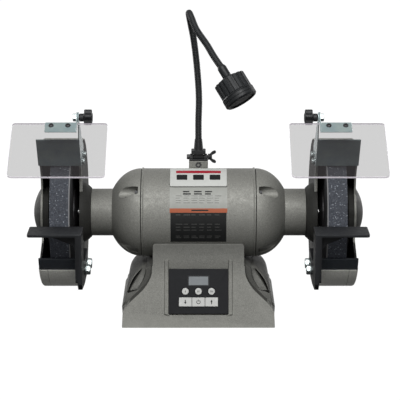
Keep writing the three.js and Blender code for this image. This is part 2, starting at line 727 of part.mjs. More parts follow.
// The pane's own frame: y runs through the pane, away from the viewer, and z runs up its slope.
function shieldFrame() {
  const frame = new THREE.Group();
  frame.position.set(0, SHIELD_PIVOT.y, SHIELD_PIVOT.z);
  frame.rotation.x = -SHIELD_TILT;
  spindleFrame.add(frame);
  return frame;
}

function shieldHolder() {
  const ear = new THREE.Shape();
  const front = PANE_FRONT - GAP;
  ear.absarc(0, 0, 7.5, -20 * DEGREES, 185 * DEGREES, false);
  ear.lineTo(front - SHEET - 2.5, PANE_TOP);
  ear.lineTo(front - SHEET, PANE_TOP - 18.5);
  ear.lineTo(front, PANE_TOP - 18.5);
  ear.lineTo(front, PANE_TOP + 1);
  const strip = box(EAR_START, STRIP_END, front - SHEET, front, PANE_TOP - 18.5, PANE_TOP - 0.5);
  const nut = rodX(5.6, EAR_START + SHEET - 0.2, EAR_START + SHEET + 5, 0, 0, 6);
  const face = front - SHEET;
  const screws = CLAMP_SCREWS.map((x) => rodY(3.8, face - 2, face + 0.4, x, PANE_TOP - 6.5, 12));
  return cut(
    join(prismX(ear, EAR_START, EAR_START + SHEET, 16), strip, nut, ...screws),
    rodX(3 + GAP, EAR_START - 1, EAR_START + 8, 0, 0, 20),
  );
}

function shieldPane() {
  const corner = 7;
  const low = PANE_TOP - SHIELD_LENGTH;
  const shape = new THREE.Shape();
  shape.moveTo(SHIELD_INNER + corner, low);
  shape.lineTo(SHIELD_OUTER - corner, low);
  shape.quadraticCurveTo(SHIELD_OUTER, low, SHIELD_OUTER, low + corner);
  shape.lineTo(SHIELD_OUTER, PANE_TOP - corner);
  shape.quadraticCurveTo(SHIELD_OUTER, PANE_TOP, SHIELD_OUTER - corner, PANE_TOP);
  shape.lineTo(SHIELD_INNER + corner, PANE_TOP);
  shape.quadraticCurveTo(SHIELD_INNER, PANE_TOP, SHIELD_INNER, PANE_TOP - corner);
  shape.lineTo(SHIELD_INNER, low + corner);
  shape.quadraticCurveTo(SHIELD_INNER, low, SHIELD_INNER + corner, low);
  return prismY(shape, PANE_FRONT, PANE_FRONT + SHIELD_THICK, 6);
}

function shieldKnob() {
  const lobes = 5;
  const star = new THREE.Shape();
  const steps = 30;
  for (let i = 0; i < steps; i += 1) {
    const angle = (i / steps) * 2 * Math.PI;
    const radius = 9.8 + 1.4 * Math.cos(lobes * angle);
    const point = [radius * Math.cos(angle), radius * Math.sin(angle)];
    if (i === 0) star.moveTo(...point);
    else star.lineTo(...point);
  }
  return join(
    prismX(star, 146, 156.8),
    rodX(5.5, 156.6, ARRESTOR.side - GAP, 0, 0, 20),
    rodX(3, 160, 176, 0, 0, 16),
  );
}

const shieldParts = shieldFrame();
addPair(shieldParts, 'shield_holder', shieldHolder(), zinc);
addPair(shieldParts, 'shield_pane', shieldPane(), clear);
addPair(shieldParts, 'shield_knob', shieldKnob(), blackPlastic);

// ---------- lamp ----------
function lampBracket() {
  const block = box(-13.7, 13.7, 3, 21, 55, 75);
  return cut(block, rodX(MOTOR_RADIUS + GAP, -20, 20, 0, 0, 36));
}

function lampClevis() {
  const { y, z } = LAMP_PIVOT;
  const inner = LAMP_CHEEK_INNER;
  const side = new THREE.Shape();
  side.moveTo(y - 8.5, 75 + GAP);
  side.lineTo(y + 8.5, 75 + GAP);
  side.lineTo(y + 8.5, 77.5);
  side.lineTo(y + 4.5, z);
  side.absarc(y, z, 4.5, 0, Math.PI, false);
  side.lineTo(y - 8.5, 77.5);
  const front = outline(mirrored([[13.3, 70], [13.3, 76], [11.4, 90]]));
  const block = prismX(side, -14, 14, 8).intersect(prismY(front, y - 10, y + 10));
  const gap = box(-inner, inner, y - 10, y + 10, 77.5, z + 10);
  const eyeRoom = box(-inner, inner, y - 4.5, y + 4.5, 70, 78);
  return join(
    cut(block, gap, eyeRoom),
    rodX(2.5, -14, 19.6, y, z, 10),
    rodX(3.9, -16.9, -12.2, y, z, 6),
  );
}

function lampHub() {
  const { y, z } = LAMP_PIVOT;
  const wide = LAMP_CHEEK_INNER - GAP;
  const eye = rodX(LAMP_EYE_RADIUS, -wide, wide, y, z, 20);
  const tongue = box(-wide, wide, y - LAMP_EYE_RADIUS, y + LAMP_EYE_RADIUS, z, z + 6);
  const block = box(-10.4, 10.4, y - 7.5, y + 7.5, z + 5, 90);
  const height = SLEEVE_TOP - 89.5;
  const cone = new THREE.CylinderGeometry(5.6, 6.8, height, 20).rotateX(Math.PI / 2);
  const sleeve = toSolid(cone.translate(0, y, SLEEVE_TOP - height / 2));
  return cut(join(eye, tongue, block, sleeve), rodX(2.5 + GAP, -12, 12, y, z, 20));
}

function wingNut() {
  const { y, z } = LAMP_PIVOT;
  const wing = (sign) => {
    const shape = outline([[14.2, 2], [17, 4.6], [23.4, 9.2], [25.6, 7.4], [24.4, 5.2], [18.4, 2]]);
    const flat = prismY(shape, -1.6, 1.6);
    const turned = placed(flat, new THREE.Matrix4().makeRotationX(sign > 0 ? 0 : Math.PI));
    return placed(turned, new THREE.Matrix4().makeTranslation(0, y, z));
  };
  const bore = 2.5 + GAP;
  const hub = ringX([[13.7, bore], [13.7, 4.6], [18.6, 3.8], [18.6, bore]], 20);
  const seated = placed(hub, new THREE.Matrix4().makeTranslation(0, y, z));
  return cut(join(seated, wing(1), wing(-1)), rodX(bore, 10, 34, y, z, 20));
}

// The gooseneck's centre line, from the sleeve on the hub to the lamp head.
const NECK_ROUTE = [[0, 12, SLEEVE_TOP + GAP], [0, 12.3, 131], [0.7, 15, 166], [-2, 19, 208], [-6.4, 22, 246],
  [-10.6, 19, 270], [-13.2, 3, 289], [-9.5, -13, 284], [-3, -22, 270], [11.8, -33, 250],
  [21.5, -41.5, 235], [32.6, -51, 220.3]];
const NECK_HINGE_AT = 4; // the route's point where the neck is split for its bending joint
const NECK_SIDES = 8;

const neckPoints = NECK_ROUTE.map((p) => new THREE.Vector3(...p));
const route = new THREE.CatmullRomCurve3(neckPoints, false, 'centripetal');

function tubeAlong(points, steps) {
  const curve = new THREE.CatmullRomCurve3(points, false, 'centripetal');
  const section = new THREE.Shape();
  section.absarc(0, 0, NECK_TUBE_RADIUS, 0, 2 * Math.PI, false);
  const options = { steps, bevelEnabled: false, extrudePath: curve, curveSegments: NECK_SIDES / 2 };
  return toSolid(new THREE.ExtrudeGeometry(section, options));
}

function routePoints(from, to, count) {
  const step = (to - from) / (count - 1);
  return Array.from({ length: count }, (_, i) => route.getPoint(from + step * i));
}

const hingeAt = NECK_HINGE_AT / (NECK_ROUTE.length - 1);
const hingePoint = route.getPoint(hingeAt);

// The lower length ends in a ball about the bending point.
function gooseneckLower() {
  const tube = tubeAlong(routePoints(0, hingeAt, 8), 12);
  const ball = toSolid(new THREE.SphereGeometry(NECK_TUBE_RADIUS, 8, 6).translate(...hingePoint.toArray()));
  return join(tube, ball);
}

function gooseneckUpper() {
  const length = route.getLength();
  const clear = (NECK_TUBE_RADIUS + GAP) / length;
  const tube = tubeAlong(routePoints(hingeAt + clear * 1.05, 1, 18), 22);
  return join(tube, placed(lampSleeve(), headMatrix()));
}

// The head's frame: its z axis runs down the lamp's axis from the end of the gooseneck.
const HEAD_AXIS = new THREE.Vector3(0.507, -0.374, -0.777).normalize();
const HEAD = { start: 16, bodyEnd: 41.5, ringEnd: 54.5, bodyRadius: 22.8, ringRadius: 23.8 };

function headMatrix() {
  const side = new THREE.Vector3().crossVectors(Y, HEAD_AXIS).normalize();
  const up = new THREE.Vector3().crossVectors(HEAD_AXIS, side);
  return new THREE.Matrix4().makeBasis(side, up, HEAD_AXIS).setPosition(...NECK_ROUTE.at(-1));
}

function turnedZ(profile, sides) {
  const points = profile.map(([radius, z]) => new THREE.Vector2(radius, z));
  return toSolid(new THREE.LatheGeometry(points, sides).rotateX(Math.PI / 2));
}

function lampSleeve() {
  const end = HEAD.start - GAP;
  return turnedZ([[0, -2.5], [5.6, -2.5], [6.4, 0], [6.4, end - 2.5], [5, end], [0, end]], 16);
}

function lampHead() {
  const { start, bodyEnd, ringEnd, bodyRadius, ringRadius } = HEAD;
  const fins = 14;
  const root = bodyRadius - 2.4;
  const rim = Array.from({ length: fins }, (_, i) => [[i, root], [i + 0.5, root], [i + 0.5, bodyRadius],
    [i + 1, bodyRadius]]).flat().map(([turn, radius]) => {
    const angle = (turn / fins) * 2 * Math.PI;
    return [radius * Math.cos(angle), radius * Math.sin(angle)];
  });
  const options = { depth: bodyEnd - start - 2, bevelEnabled: false };
  const finned = toSolid(new THREE.ExtrudeGeometry(outline(rim), options).translate(0, 0, start + 3));
  const inside = root - 1;
  const core = turnedZ([[0, start], [14, start], [inside, start + 3], [inside, bodyEnd], [0, bodyEnd]], 20);
  const ring = turnedZ([[0, bodyEnd], [ringRadius - 1, bodyEnd], [ringRadius, bodyEnd + 1],
    [ringRadius, ringEnd - 2], [ringRadius - 2, ringEnd], [0, ringEnd]], 24);
  const mouthHollow = turnedZ([[0, ringEnd - 8], [12, ringEnd - 8], [19.3, ringEnd - 4.5],
    [19.3, ringEnd + 1], [0, ringEnd + 1]], 20);
  return cut(join(finned, core, ring), mouthHollow);
}

function lampLens() {
  const { ringEnd } = HEAD;
  return turnedZ([[0, ringEnd - 4], [19, ringEnd - 4], [19, ringEnd - 2], [0, ringEnd - 1.2]], 20);
}

add(spindleFrame, 'lamp_bracket', lampBracket(), greyPaint);
add(spindleFrame, 'lamp_clevis', lampClevis(), blackPlastic);
add(spindleFrame, 'lamp_hub', lampHub(), blackPlastic);
add(spindleFrame, 'wing_nut', wingNut(), blackPlastic);
add(spindleFrame, 'gooseneck_lower', gooseneckLower(), blackPaint);
add(spindleFrame, 'gooseneck_upper', gooseneckUpper(), blackPaint);
add(spindleFrame, 'lamp_head', placed(lampHead(), headMatrix()), blackPaint);
add(spindleFrame, 'lamp_lens', placed(lampLens(), headMatrix()), glass);

export default grinder;
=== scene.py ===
"""Visual model of a bench grinder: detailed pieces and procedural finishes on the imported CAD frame.

Shapes are drawn in millimetres, in a few local frames, and placed in metres in the frame's axes:
+Z up, +X to the operator's right, the operator at -Y, the origin at the middle of the base's underside.
"""

import math
import random

import bmesh
import bpy
from mathutils import Matrix, Vector


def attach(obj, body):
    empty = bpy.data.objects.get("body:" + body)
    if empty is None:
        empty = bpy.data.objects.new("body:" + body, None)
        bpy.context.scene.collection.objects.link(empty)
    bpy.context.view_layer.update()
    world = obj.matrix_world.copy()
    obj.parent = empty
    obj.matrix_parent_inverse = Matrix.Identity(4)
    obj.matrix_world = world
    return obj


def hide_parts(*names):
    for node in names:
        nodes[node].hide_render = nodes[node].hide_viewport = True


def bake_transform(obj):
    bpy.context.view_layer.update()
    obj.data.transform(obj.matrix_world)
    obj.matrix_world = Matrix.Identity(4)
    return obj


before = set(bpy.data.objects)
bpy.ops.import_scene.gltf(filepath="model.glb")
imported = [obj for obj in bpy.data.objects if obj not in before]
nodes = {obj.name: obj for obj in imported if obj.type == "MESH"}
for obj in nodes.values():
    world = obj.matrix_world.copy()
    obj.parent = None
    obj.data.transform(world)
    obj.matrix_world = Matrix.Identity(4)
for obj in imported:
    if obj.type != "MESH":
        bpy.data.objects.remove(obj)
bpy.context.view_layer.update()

# ---------- driving dimensions, in millimetres ----------
AXIS_HEIGHT = 145
GAP = 0.3
MOTOR_RADIUS = 63.5
MOTOR_HALF_LENGTH = 82
NECK_RADIUS = 34
NECK_END = 154
BELL_DEPTH = 49.5
POCKET_CIRCLE = 57
POCKET_RADIUS = 8
POCKET_START = 86

WHEEL_RADIUS = 100
WHEEL_WIDTH = 28
WHEEL_CENTRE = 193.2

GUARD_RADIUS = 107
GUARD_WALL = 3
GUARD_INNER_FACE = 166
GUARD_PLATE = 4
GUARD_SEAM = 212
GUARD_OUTER_FACE = 225
RIM_CORNER = 4.5
HUB_RADIUS = 43.5
PORT_RADIUS = 22.4
PORT_Z = -58
PORT_WALL = 2.6
PORT_END = 122
DOME_RADIUS = 38
DOME_RISE = 13
SKIRT_START = 214
SKIRT_WALL = 2.5
REST_BOLTS = ((-44, -64), (-74, -64))

BASE_HALF_WIDTH = 108.5
BASE_HALF_DEPTH = 92
SADDLE_HALF_WIDTH = 65
SADDLE_HALF_DEPTH = 62
SADDLE_HEIGHT = 115
FACE_TILT = math.atan2(BASE_HALF_DEPTH - SADDLE_HALF_DEPTH, SADDLE_HEIGHT)
PANEL_HEIGHT = 50
PANEL_HALF_WIDTH = 42.4
PANEL_HALF_HEIGHT = 32.2
PANEL_FRONT = 1.2
KEY_PITCH = 18.6
KEY_Z = -15
KEY_WIDTH = 18
KEY_HEIGHT = 12.6
PRESET_RADIUS = 4.75
DISPLAY_Z = 15
DISPLAY_HALF_WIDTH = 13.8
DISPLAY_HALF_HEIGHT = 6.2
GLAND_X = 62
GLAND_Z = 24
GLAND_SEAT = 86.5

PIVOT_Y = -85
PIVOT_Z = 158
SHIELD_TILT = math.radians(57.2)
SHIELD_INNER = 124
SHIELD_OUTER = 254.5
SHIELD_LENGTH = 100.6
PANE_FRONT = -1.1
PANE_TOP = -11.8
STRIP_END = 209.5
CLAMP_SCREWS = (178, 201)
SHIELD_THICK = 3
SHEET = 1.5
ARRESTOR_LOW = Vector((-62, 84))
ARRESTOR_HIGH = Vector((-88, 127))
ARRESTOR_SIDE = 163.9
ARRESTOR_OUTER = 224
EAR_START = ARRESTOR_SIDE + SHEET + GAP

LAMP_Y = 12
LAMP_Z = 79.5
NECK_TUBE_RADIUS = 4.9
SLEEVE_TOP = 106.1
NECK_ROUTE = (
    (0, 12, SLEEVE_TOP + GAP), (0, 12.3, 131), (0.7, 15, 166), (-2, 19, 208), (-6.4, 22, 246),
    (-10.6, 19, 270), (-13.2, 3, 289), (-9.5, -13, 284), (-3, -22, 270), (11.8, -33, 250),
    (21.5, -41.5, 235), (32.6, -51, 220.3),
)
HEAD_AXIS = Vector((0.507, -0.374, -0.777)).normalized()
HEAD_START = 16
HEAD_BODY_END = 41.5
HEAD_RING_END = 54.5
HEAD_BODY_RADIUS = 22.8
HEAD_RING_RADIUS = 23.8


# ---------- frames ----------
def move(x, y, z):
    return Matrix.Translation((x, y, z))


def turn(angle, axis="X"):
    return Matrix.Rotation(angle, 4, axis)


BASE = Matrix.Scale(0.001, 4)
SPINDLE = BASE @ move(0, 0, AXIS_HEIGHT)
PANEL = (
    BASE
    @ move(0, math.tan(FACE_TILT) * PANEL_HEIGHT - BASE_HALF_DEPTH, PANEL_HEIGHT)
    @ turn(-FACE_TILT)
)
SHIELD = SPINDLE @ move(0, PIVOT_Y, PIVOT_Z) @ turn(-SHIELD_TILT)


def head_frame():
    """The lamp head's frame: z runs down the lamp's axis from the end of the gooseneck."""
    side = Vector((0, 1, 0)).cross(HEAD_AXIS).normalized()
    up = HEAD_AXIS.cross(side)
    basis = Matrix((side, up, HEAD_AXIS)).transposed().to_4x4()
    return SPINDLE @ Matrix.Translation(NECK_ROUTE[-1]) @ basis


HEAD = head_frame()


# ---------- outlines ----------
def arc(u, v, radius, start, end, steps=16):
    """Points on an arc, angles in degrees."""
    angles = [math.radians(start + (end - start) * i / steps) for i in range(steps + 1)]
    return [(u + radius * math.cos(a), v + radius * math.sin(a)) for a in angles]


def bezier(a, b, c, d, steps=24):
    a, b, c, d = (Vector(p) for p in (a, b, c, d))
    ts = [i / steps for i in range(steps + 1)]
    return [
        tuple(a * (1 - t) ** 3 + b * 3 * t * (1 - t) ** 2 + c * 3 * t * t * (1 - t) + d * t**3)
        for t in ts
    ]


def rounded(corners, steps=6):
    """A closed outline whose corners (u, v, radius) are rounded."""
    points = []
    for i, corner in enumerate(corners):
        here = Vector(corner[:2])
        radius = corner[2] if len(corner) > 2 else 0
        if radius == 0:
            points.append(tuple(here))
            continue
        back = (Vector(corners[i - 1][:2]) - here).normalized()
        ahead = (Vector(corners[(i + 1) % len(corners)][:2]) - here).normalized()
        half = back.angle(ahead) / 2
        reach = radius / math.tan(half)
        start = here + back * reach
        end = here + ahead * reach
        for k in range(steps + 1):
            t = k / steps
            points.append(tuple(start * (1 - t) ** 2 + here * 2 * t * (1 - t) + end * t * t))
    return points


def rectangle(u0, u1, v0, v1, radius=0):
    return rounded([(u0, v0, radius), (u1, v0, radius), (u1, v1, radius), (u0, v1, radius)])


def mirrored(half):
    return list(half) + [(-u, v) for u, v in reversed(half)]


def catmull(points, t):
    """A point on the centripetal Catmull-Rom curve through the points, t from 0 to 1."""
    count = len(points)
    place = (count - 1) * t
    i = min(int(place), count - 2)
    w = place - i
    p1, p2 = points[i], points[i + 1]
    p0 = points[i - 1] if i > 0 else p1 * 2 - p2
    p3 = points[i + 2] if i + 2 < count else p2 * 2 - p1
    d0, d1, d2 = (math.sqrt((b - a).length) for a, b in ((p0, p1), (p1, p2), (p2, p3)))
    m1 = ((p1 - p0) / d0 - (p2 - p0) / (d0 + d1) + (p2 - p1) / d1) * d1
    m2 = ((p2 - p1) / d1 - (p3 - p1) / (d1 + d2) + (p3 - p2) / d2) * d1
    c2 = (p2 - p1) * 3 - m1 * 2 - m2
    c3 = (p1 - p2) * 2 + m1 + m2
    return p1 + m1 * w + c2 * w * w + c3 * w**3


# ---------- solids ----------
def stock(vertices, faces, name="stock"):
    """A closed mesh object in millimetres, its faces turned outwards."""
    mesh = bpy.data.meshes.new(name)
    mesh.from_pydata(vertices, [], faces)
    shape = bmesh.new()
    shape.from_mesh(mesh)
    bmesh.ops.recalc_face_normals(shape, faces=shape.faces)
    shape.to_mesh(mesh)
    shape.free()
    made = bpy.data.objects.new(name, mesh)
    bpy.context.scene.collection.objects.link(made)
    return made


AXES = {"X": (1, 2, 0), "Y": (0, 2, 1), "Z": (0, 1, 2)}


def along(axis, u, v, w):
    point = [0, 0, 0]
    for place, value in zip(AXES[axis], (u, v, w)):
        point[place] = value
    return tuple(point)


def prism(outline, low, high, axis="X"):
    """An outline in the two other axes, extruded along this axis."""
    count = len(outline)
    vertices = [along(axis, u, v, w) for w in (low, high) for u, v in outline]
    sides = [(i, (i + 1) % count, (i + 1) % count + count, i + count) for i in range(count)]
    caps = [tuple(range(count)), tuple(range(count, 2 * count))]
    return stock(vertices, sides + caps)


def box(x0, x1, y0, y1, z0, z1):
    return prism([(x0, y0), (x1, y0), (x1, y1), (x0, y1)], z0, z1, "Z")


def lathe(profile, axis="X", segments=128, centre=(0, 0)):
    """(along, radius) points turned about an axis: from pole to pole, or a closed ring."""
    vertices = []
    rings = []
    for w, radius in profile:
        start = len(vertices)
        if radius < 1e-6:
            vertices.append(along(axis, *centre, w))
            rings.append([start] * segments)
            continue
        for i in range(segments):
            a = 2 * math.pi * i / segments
            u = centre[0] + radius * math.cos(a)
            v = centre[1] + radius * math.sin(a)
            vertices.append(along(axis, u, v, w))
        rings.append(list(range(start, start + segments)))
    faces = []
    closed = profile[0][1] > 1e-6
    pairs = list(zip(rings, rings[1:]))
    if closed:
        pairs.append((rings[-1], rings[0]))
    for one, two in pairs:
        for i in range(segments):
            j = (i + 1) % segments
            corners = [one[i], one[j], two[j], two[i]]
            face = list(dict.fromkeys(corners))
            if len(face) > 2:
                faces.append(tuple(face))
    return stock(vertices, faces)


def rod(radius, low, high, axis="X", centre=(0, 0), segments=48):
    return lathe([(low, 0), (low, radius), (high, radius), (high, 0)], axis, segments, centre)


def applied(thing):
    """The object with its modifiers made part of its mesh."""
    bpy.context.view_layer.update()
    graph = bpy.context.evaluated_depsgraph_get()
    mesh = bpy.data.meshes.new_from_object(thing.evaluated_get(graph))
    thing.modifiers.clear()
    old = thing.data
    thing.data = mesh
    bpy.data.meshes.remove(old)
    return thing


def boolean(thing, tool, operation):
    before = len(thing.data.vertices), len(thing.data.polygons)
    for solver in ("MANIFOLD", "EXACT"):
        step = thing.modifiers.new("step", "BOOLEAN")
        step.object = tool
        step.operation = operation
        step.solver = solver
        bpy.context.view_layer.update()
        graph = bpy.context.evaluated_depsgraph_get()
        mesh = thing.evaluated_get(graph).data
        after = len(mesh.vertices), len(mesh.polygons)
        if after != before and after[1] > 0:
            break
        thing.modifiers.clear()
    if thing.modifiers:
        applied(thing)
    bpy.data.objects.remove(tool)
    return thing


def join(first, *others):
    for other in others:
        boolean(first, other, "UNION")
    return first


def cut(first, *tools):
    for tool in tools:
        boolean(first, tool, "DIFFERENCE")
    return first


def overlap(first, other):
    return boolean(first, other, "INTERSECT")


def placed(thing, matrix):
    thing.data.transform(matrix)
    if matrix.determinant() < 0:
        thing.data.flip_normals()
    return thing


def copied(thing):
    twin = thing.copy()
    twin.data = thing.data.copy()
    bpy.context.scene.collection.objects.link(twin)
    return twin


def cleaned(thing):
    """Drops the slivers that the joins and cuts leave."""
    shape = bmesh.new()
    shape.from_mesh(thing.data)
    bmesh.ops.remove_doubles(shape, verts=shape.verts, dist=0.004)
    bmesh.ops.dissolve_degenerate(shape, dist=0.01, edges=shape.edges)
    bmesh.ops.dissolve_limit(
        shape, angle_limit=math.radians(0.3), verts=shape.verts, edges=shape.edges
    )
    bmesh.ops.recalc_face_normals(shape, faces=shape.faces)
    shape.to_mesh(thing.data)
    shape.free()


# ---------- pieces ----------
SHARP = math.radians(42)


def weighted(thing):
    for face in thing.data.polygons:
        face.use_smooth = True
    thing.data.set_sharp_from_angle(angle=SHARP)
    normals = thing.modifiers.new("normals", "WEIGHTED_NORMAL")
    normals.keep_sharp = True


def piece(name, thing, place, finish, body="stand", stands_for=(), slot=None, bevel=0.5, limit=32,
          segments=3, clamp=False, smooth=True):
    """Rounds the solid's edges, puts it in the frame and ties it to its CAD body."""
    cleaned(thing)
    if bevel:
        edges = thing.modifiers.new("edges", "BEVEL")
        edges.width = bevel
        edges.segments = segments
        edges.limit_method = "ANGLE"
        edges.angle_limit = math.radians(limit)
        edges.use_clamp_overlap = clamp
        edges.miter_outer = "MITER_ARC"
        applied(thing)
    if smooth:
        weighted(thing)
        applied(thing)
    thing.data.transform(place)
    thing.name = name
    thing.data.name = name
    thing.data.materials.clear()
    thing.data.materials.append(finish)
    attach(thing, body)
    if stands_for:
        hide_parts(*stands_for)
    return thing


MIRROR = Matrix.Scale(-1, 4, (1, 0, 0))


def pair(name, thing, place, finish, body="stand", stands_for=(), **options):
    """A right-hand piece and its mirror image. Bodies and nodes that come in pairs end in _*."""
    twin = placed(copied(thing), MIRROR)
    made = []
    for side, shape in (("right", thing), ("left", twin)):
        named = [n.replace("*", side) for n in stands_for]
        rides = body.replace("*", side)
        made.append(piece(f"{name}_{side}", shape, place, finish, rides, named, **options))
    return made


# ---------- finishes ----------
class Finish:
    """A material built from nodes around one Principled shader."""

    def __init__(self, name, **constants):
        self.material = bpy.data.materials.new(name)
        self.material.use_nodes = True
        self.tree = self.material.node_tree
        self.shader = self.tree.nodes["Principled BSDF"]
        for socket, value in constants.items():
            self.shader.inputs[socket.replace("_", " ")].default_value = value
        self.coordinates = self.tree.nodes.new("ShaderNodeTexCoord").outputs["Object"]

    def link(self, source, target):
        self.tree.links.new(source, target)

    def noise(self, scale, detail=3.0, rough=0.55, stretch=(1, 1, 1)):
        source = self.coordinates
        if stretch != (1, 1, 1):
            mapping = self.tree.nodes.new("ShaderNodeMapping")
            mapping.inputs["Scale"].default_value = stretch
            self.link(source, mapping.inputs["Vector"])
            source = mapping.outputs["Vector"]
        node = self.tree.nodes.new("ShaderNodeTexNoise")
        node.inputs["Scale"].default_value = scale
        node.inputs["Detail"].default_value = detail
        node.inputs["Roughness"].default_value = rough
        self.link(source, node.inputs["Vector"])
        return node.outputs["Fac"]

    def cells(self, scale, feature="SMOOTH_F1", output="Distance"):
        node = self.tree.nodes.new("ShaderNodeTexVoronoi")
        node.feature = feature
        node.inputs["Scale"].default_value = scale
        self.link(self.coordinates, node.inputs["Vector"])
        return node.outputs[output]

    def ramp(self, source, low, high, start=0.0, end=1.0):
        """The source spread from start..end to low..high."""
        node = self.tree.nodes.new("ShaderNodeMapRange")
        for name, value in (("From Min", start), ("From Max", end), ("To Min", low), ("To Max", high)):
            node.inputs[name].default_value = value
        self.link(source, node.inputs["Value"])
        return node.outputs["Result"]

    def mix(self, factor, one, two, mode="MIX"):
        """One and two are colours or sockets."""
        node = self.tree.nodes.new("ShaderNodeMix")
        node.data_type = "RGBA"
        node.blend_type = mode
        if isinstance(factor, (int, float)):
            node.inputs["Factor"].default_value = factor
        else:
            self.link(factor, node.inputs["Factor"])
        for name, value in (("A", one), ("B", two)):
            socket = next(s for s in node.inputs if s.name == name and s.type == "RGBA")
            if isinstance(value, bpy.types.NodeSocket):
                self.link(value, socket)
            else:
                socket.default_value = (*value, 1)
        return next(s for s in node.outputs if s.type == "RGBA")

    def edges(self, start=0.52, end=0.6):
        """High on convex edges, where paint wears."""
        geometry = self.tree.nodes.new("ShaderNodeNewGeometry")
        return self.ramp(geometry.outputs["Pointiness"], 0, 1, start, end)

    def colour(self, source):
        self.link(source, self.shader.inputs["Base Color"])

    def roughness(self, source):
        self.link(source, self.shader.inputs["Roughness"])

    def bump(self, heights, distance, strength=1.0):
        """Several height sockets, each with its own share of the distance."""
        normal = None
        for source, share in heights:
            node = self.tree.nodes.new("ShaderNodeBump")
            node.inputs["Distance"].default_value = distance * share
            node.inputs["Strength"].default_value = strength
            self.link(source, node.inputs["Height"])
            if normal is not None:
                self.link(normal, node.inputs["Normal"])
            normal = node.outputs["Normal"]
        self.link(normal, self.shader.inputs["Normal"])


def shade(colour, factor):
    return tuple(min(1.0, c * factor) for c in colour)


def painted(name, colour, metallic, roughness, grain=420, depth=0.00008, spread=0.14, worn=1.35,
            shine=0.4, shadow=None):
    """Enamel with a fine pebbled skin, slight clouding, flecks and lighter worn edges.

    Shadow is (low, high): the heights, in metres, between which painted shade darkens the paint more and more upwards.
    """
    finish = Finish(name, Metallic=metallic, Specular_IOR_Level=shine)
    cloud = finish.noise(28, 4)
    fleck = finish.noise(850, 2)
    base = finish.mix(cloud, shade(colour, 1 - spread), shade(colour, 1 + spread))
    flecked = finish.mix(finish.ramp(fleck, 0, 0.75, 0.42, 0.7), base, shade(colour, 1.5))
    pitted = finish.mix(finish.ramp(finish.noise(1100, 1), 0.6, 0, 0.3, 0.5), flecked, shade(colour, 0.55))
    worn_and_shaded = finish.mix(finish.edges(), pitted, shade(colour, worn))
    # Painted shade: the paint darkens upwards between the shadow heights.
    if shadow:
        split = finish.tree.nodes.new("ShaderNodeSeparateXYZ")
        finish.link(finish.coordinates, split.inputs["Vector"])
        painted_shade = finish.ramp(split.outputs["Z"], 0, 0.62, *shadow)
        worn_and_shaded = finish.mix(painted_shade, worn_and_shaded, shade(colour, 0.16))
    finish.colour(worn_and_shaded)
    finish.roughness(finish.ramp(finish.noise(160, 3), roughness - 0.07, roughness + 0.09, 0.3, 0.7))
    finish.bump([(finish.cells(grain), 1.0), (finish.noise(2200, 2), 0.4)], depth, 0.55)
    return finish.material


def plastic(name, colour, roughness=0.5, grain=1800, depth=0.00003, spread=0.12, shine=0.35):
    """Moulded plastic with a fine spark-eroded texture and faint rubbed patches."""
    finish = Finish(name, Metallic=0.0, Specular_IOR_Level=shine)
    cloud = finish.noise(45, 3)
    base = finish.mix(cloud, shade(colour, 1 - spread), shade(colour, 1 + spread))
    rubbed = finish.ramp(finish.noise(130, 5, 0.7), 0, 0.5, 0.58, 0.75)
    finish.colour(finish.mix(rubbed, base, shade(colour, 1.5)))
    finish.roughness(finish.ramp(finish.noise(220, 3), roughness - 0.08, roughness + 0.1, 0.3, 0.7))
    finish.bump([(finish.noise(grain, 2), 1.0)], depth, 0.6)
    return finish.material


def metal(name, colour, roughness=0.32, metallic=1.0, stretch=(1, 1, 1), spread=0.1, tint=None):
    """Bare or plated metal, with fine scratches along its grain and faint stains."""
    finish = Finish(name, Metallic=metallic)
    cloud = finish.noise(60, 4)
    other = tint or shade(colour, 1 + spread)
    base = finish.mix(finish.ramp(cloud, 0, 1, 0.3, 0.7), shade(colour, 1 - spread), other)
    grain = finish.noise(900, 3, 0.6, stretch)
    finish.colour(finish.mix(finish.ramp(grain, 0, 0.3, 0.4, 0.7), base, shade(colour, 1.35)))
    finish.roughness(finish.ramp(grain, roughness - 0.1, roughness + 0.14, 0.3, 0.7))
    finish.bump([(grain, 1.0)], 0.00002, 0.5)
    return finish.material


def grindstone():
    """Vitrified abrasive: dark grit with bright facets and open pores."""
    finish = Finish("abrasive", Metallic=0.0, Roughness=0.9)
    dark = (0.052, 0.058, 0.072)
    grit = finish.mix(finish.ramp(finish.noise(700, 4, 0.7), 0, 1, 0.35, 0.65), shade(dark, 0.55), shade(dark, 1.7))
    speck = finish.cells(620, "F1", "Color")
    split = finish.tree.nodes.new("ShaderNodeSeparateColor")
    finish.link(speck, split.inputs["Color"])
    bright = finish.ramp(split.outputs["Red"], 0, 1, 0.86, 0.93)
    near = finish.ramp(finish.cells(620, "F1"), 1, 0, 0.25, 0.5)
    both = finish.tree.nodes.new("ShaderNodeMath")
    both.operation = "MULTIPLY"
    finish.link(bright, both.inputs[0])
    finish.link(near, both.inputs[1])
    finish.colour(finish.mix(both.outputs["Value"], grit, (0.42, 0.45, 0.5)))
    finish.roughness(finish.ramp(split.outputs["Green"], 0.55, 0.98))
    finish.bump([(finish.noise(800, 3, 0.7), 1.0), (finish.cells(500), 0.7)], 0.0004, 0.9)
    return finish.material


def clear_sheet(name, colour, alpha, roughness, glow=0.0):
    """Clear plastic shown by opacity, with faint smears in its gloss. A glow above zero makes it emit its colour:
    painted light, used on the pane's edges.
    """
    finish = Finish(name, Metallic=0.0, Alpha=alpha, Emission_Strength=glow)
    finish.shader.inputs["Emission Color"].default_value = (*colour, 1)
    smear = finish.noise(14, 4, 0.6, (1, 1, 3))
    finish.colour(finish.mix(smear, shade(colour, 0.94), shade(colour, 1.05)))
    finish.roughness(finish.ramp(smear, roughness, roughness + 0.12, 0.35, 0.7))
    finish.bump([(finish.noise(900, 2), 1.0)], 0.000004, 0.4)
    finish.material.surface_render_method = "BLENDED"
    return finish.material


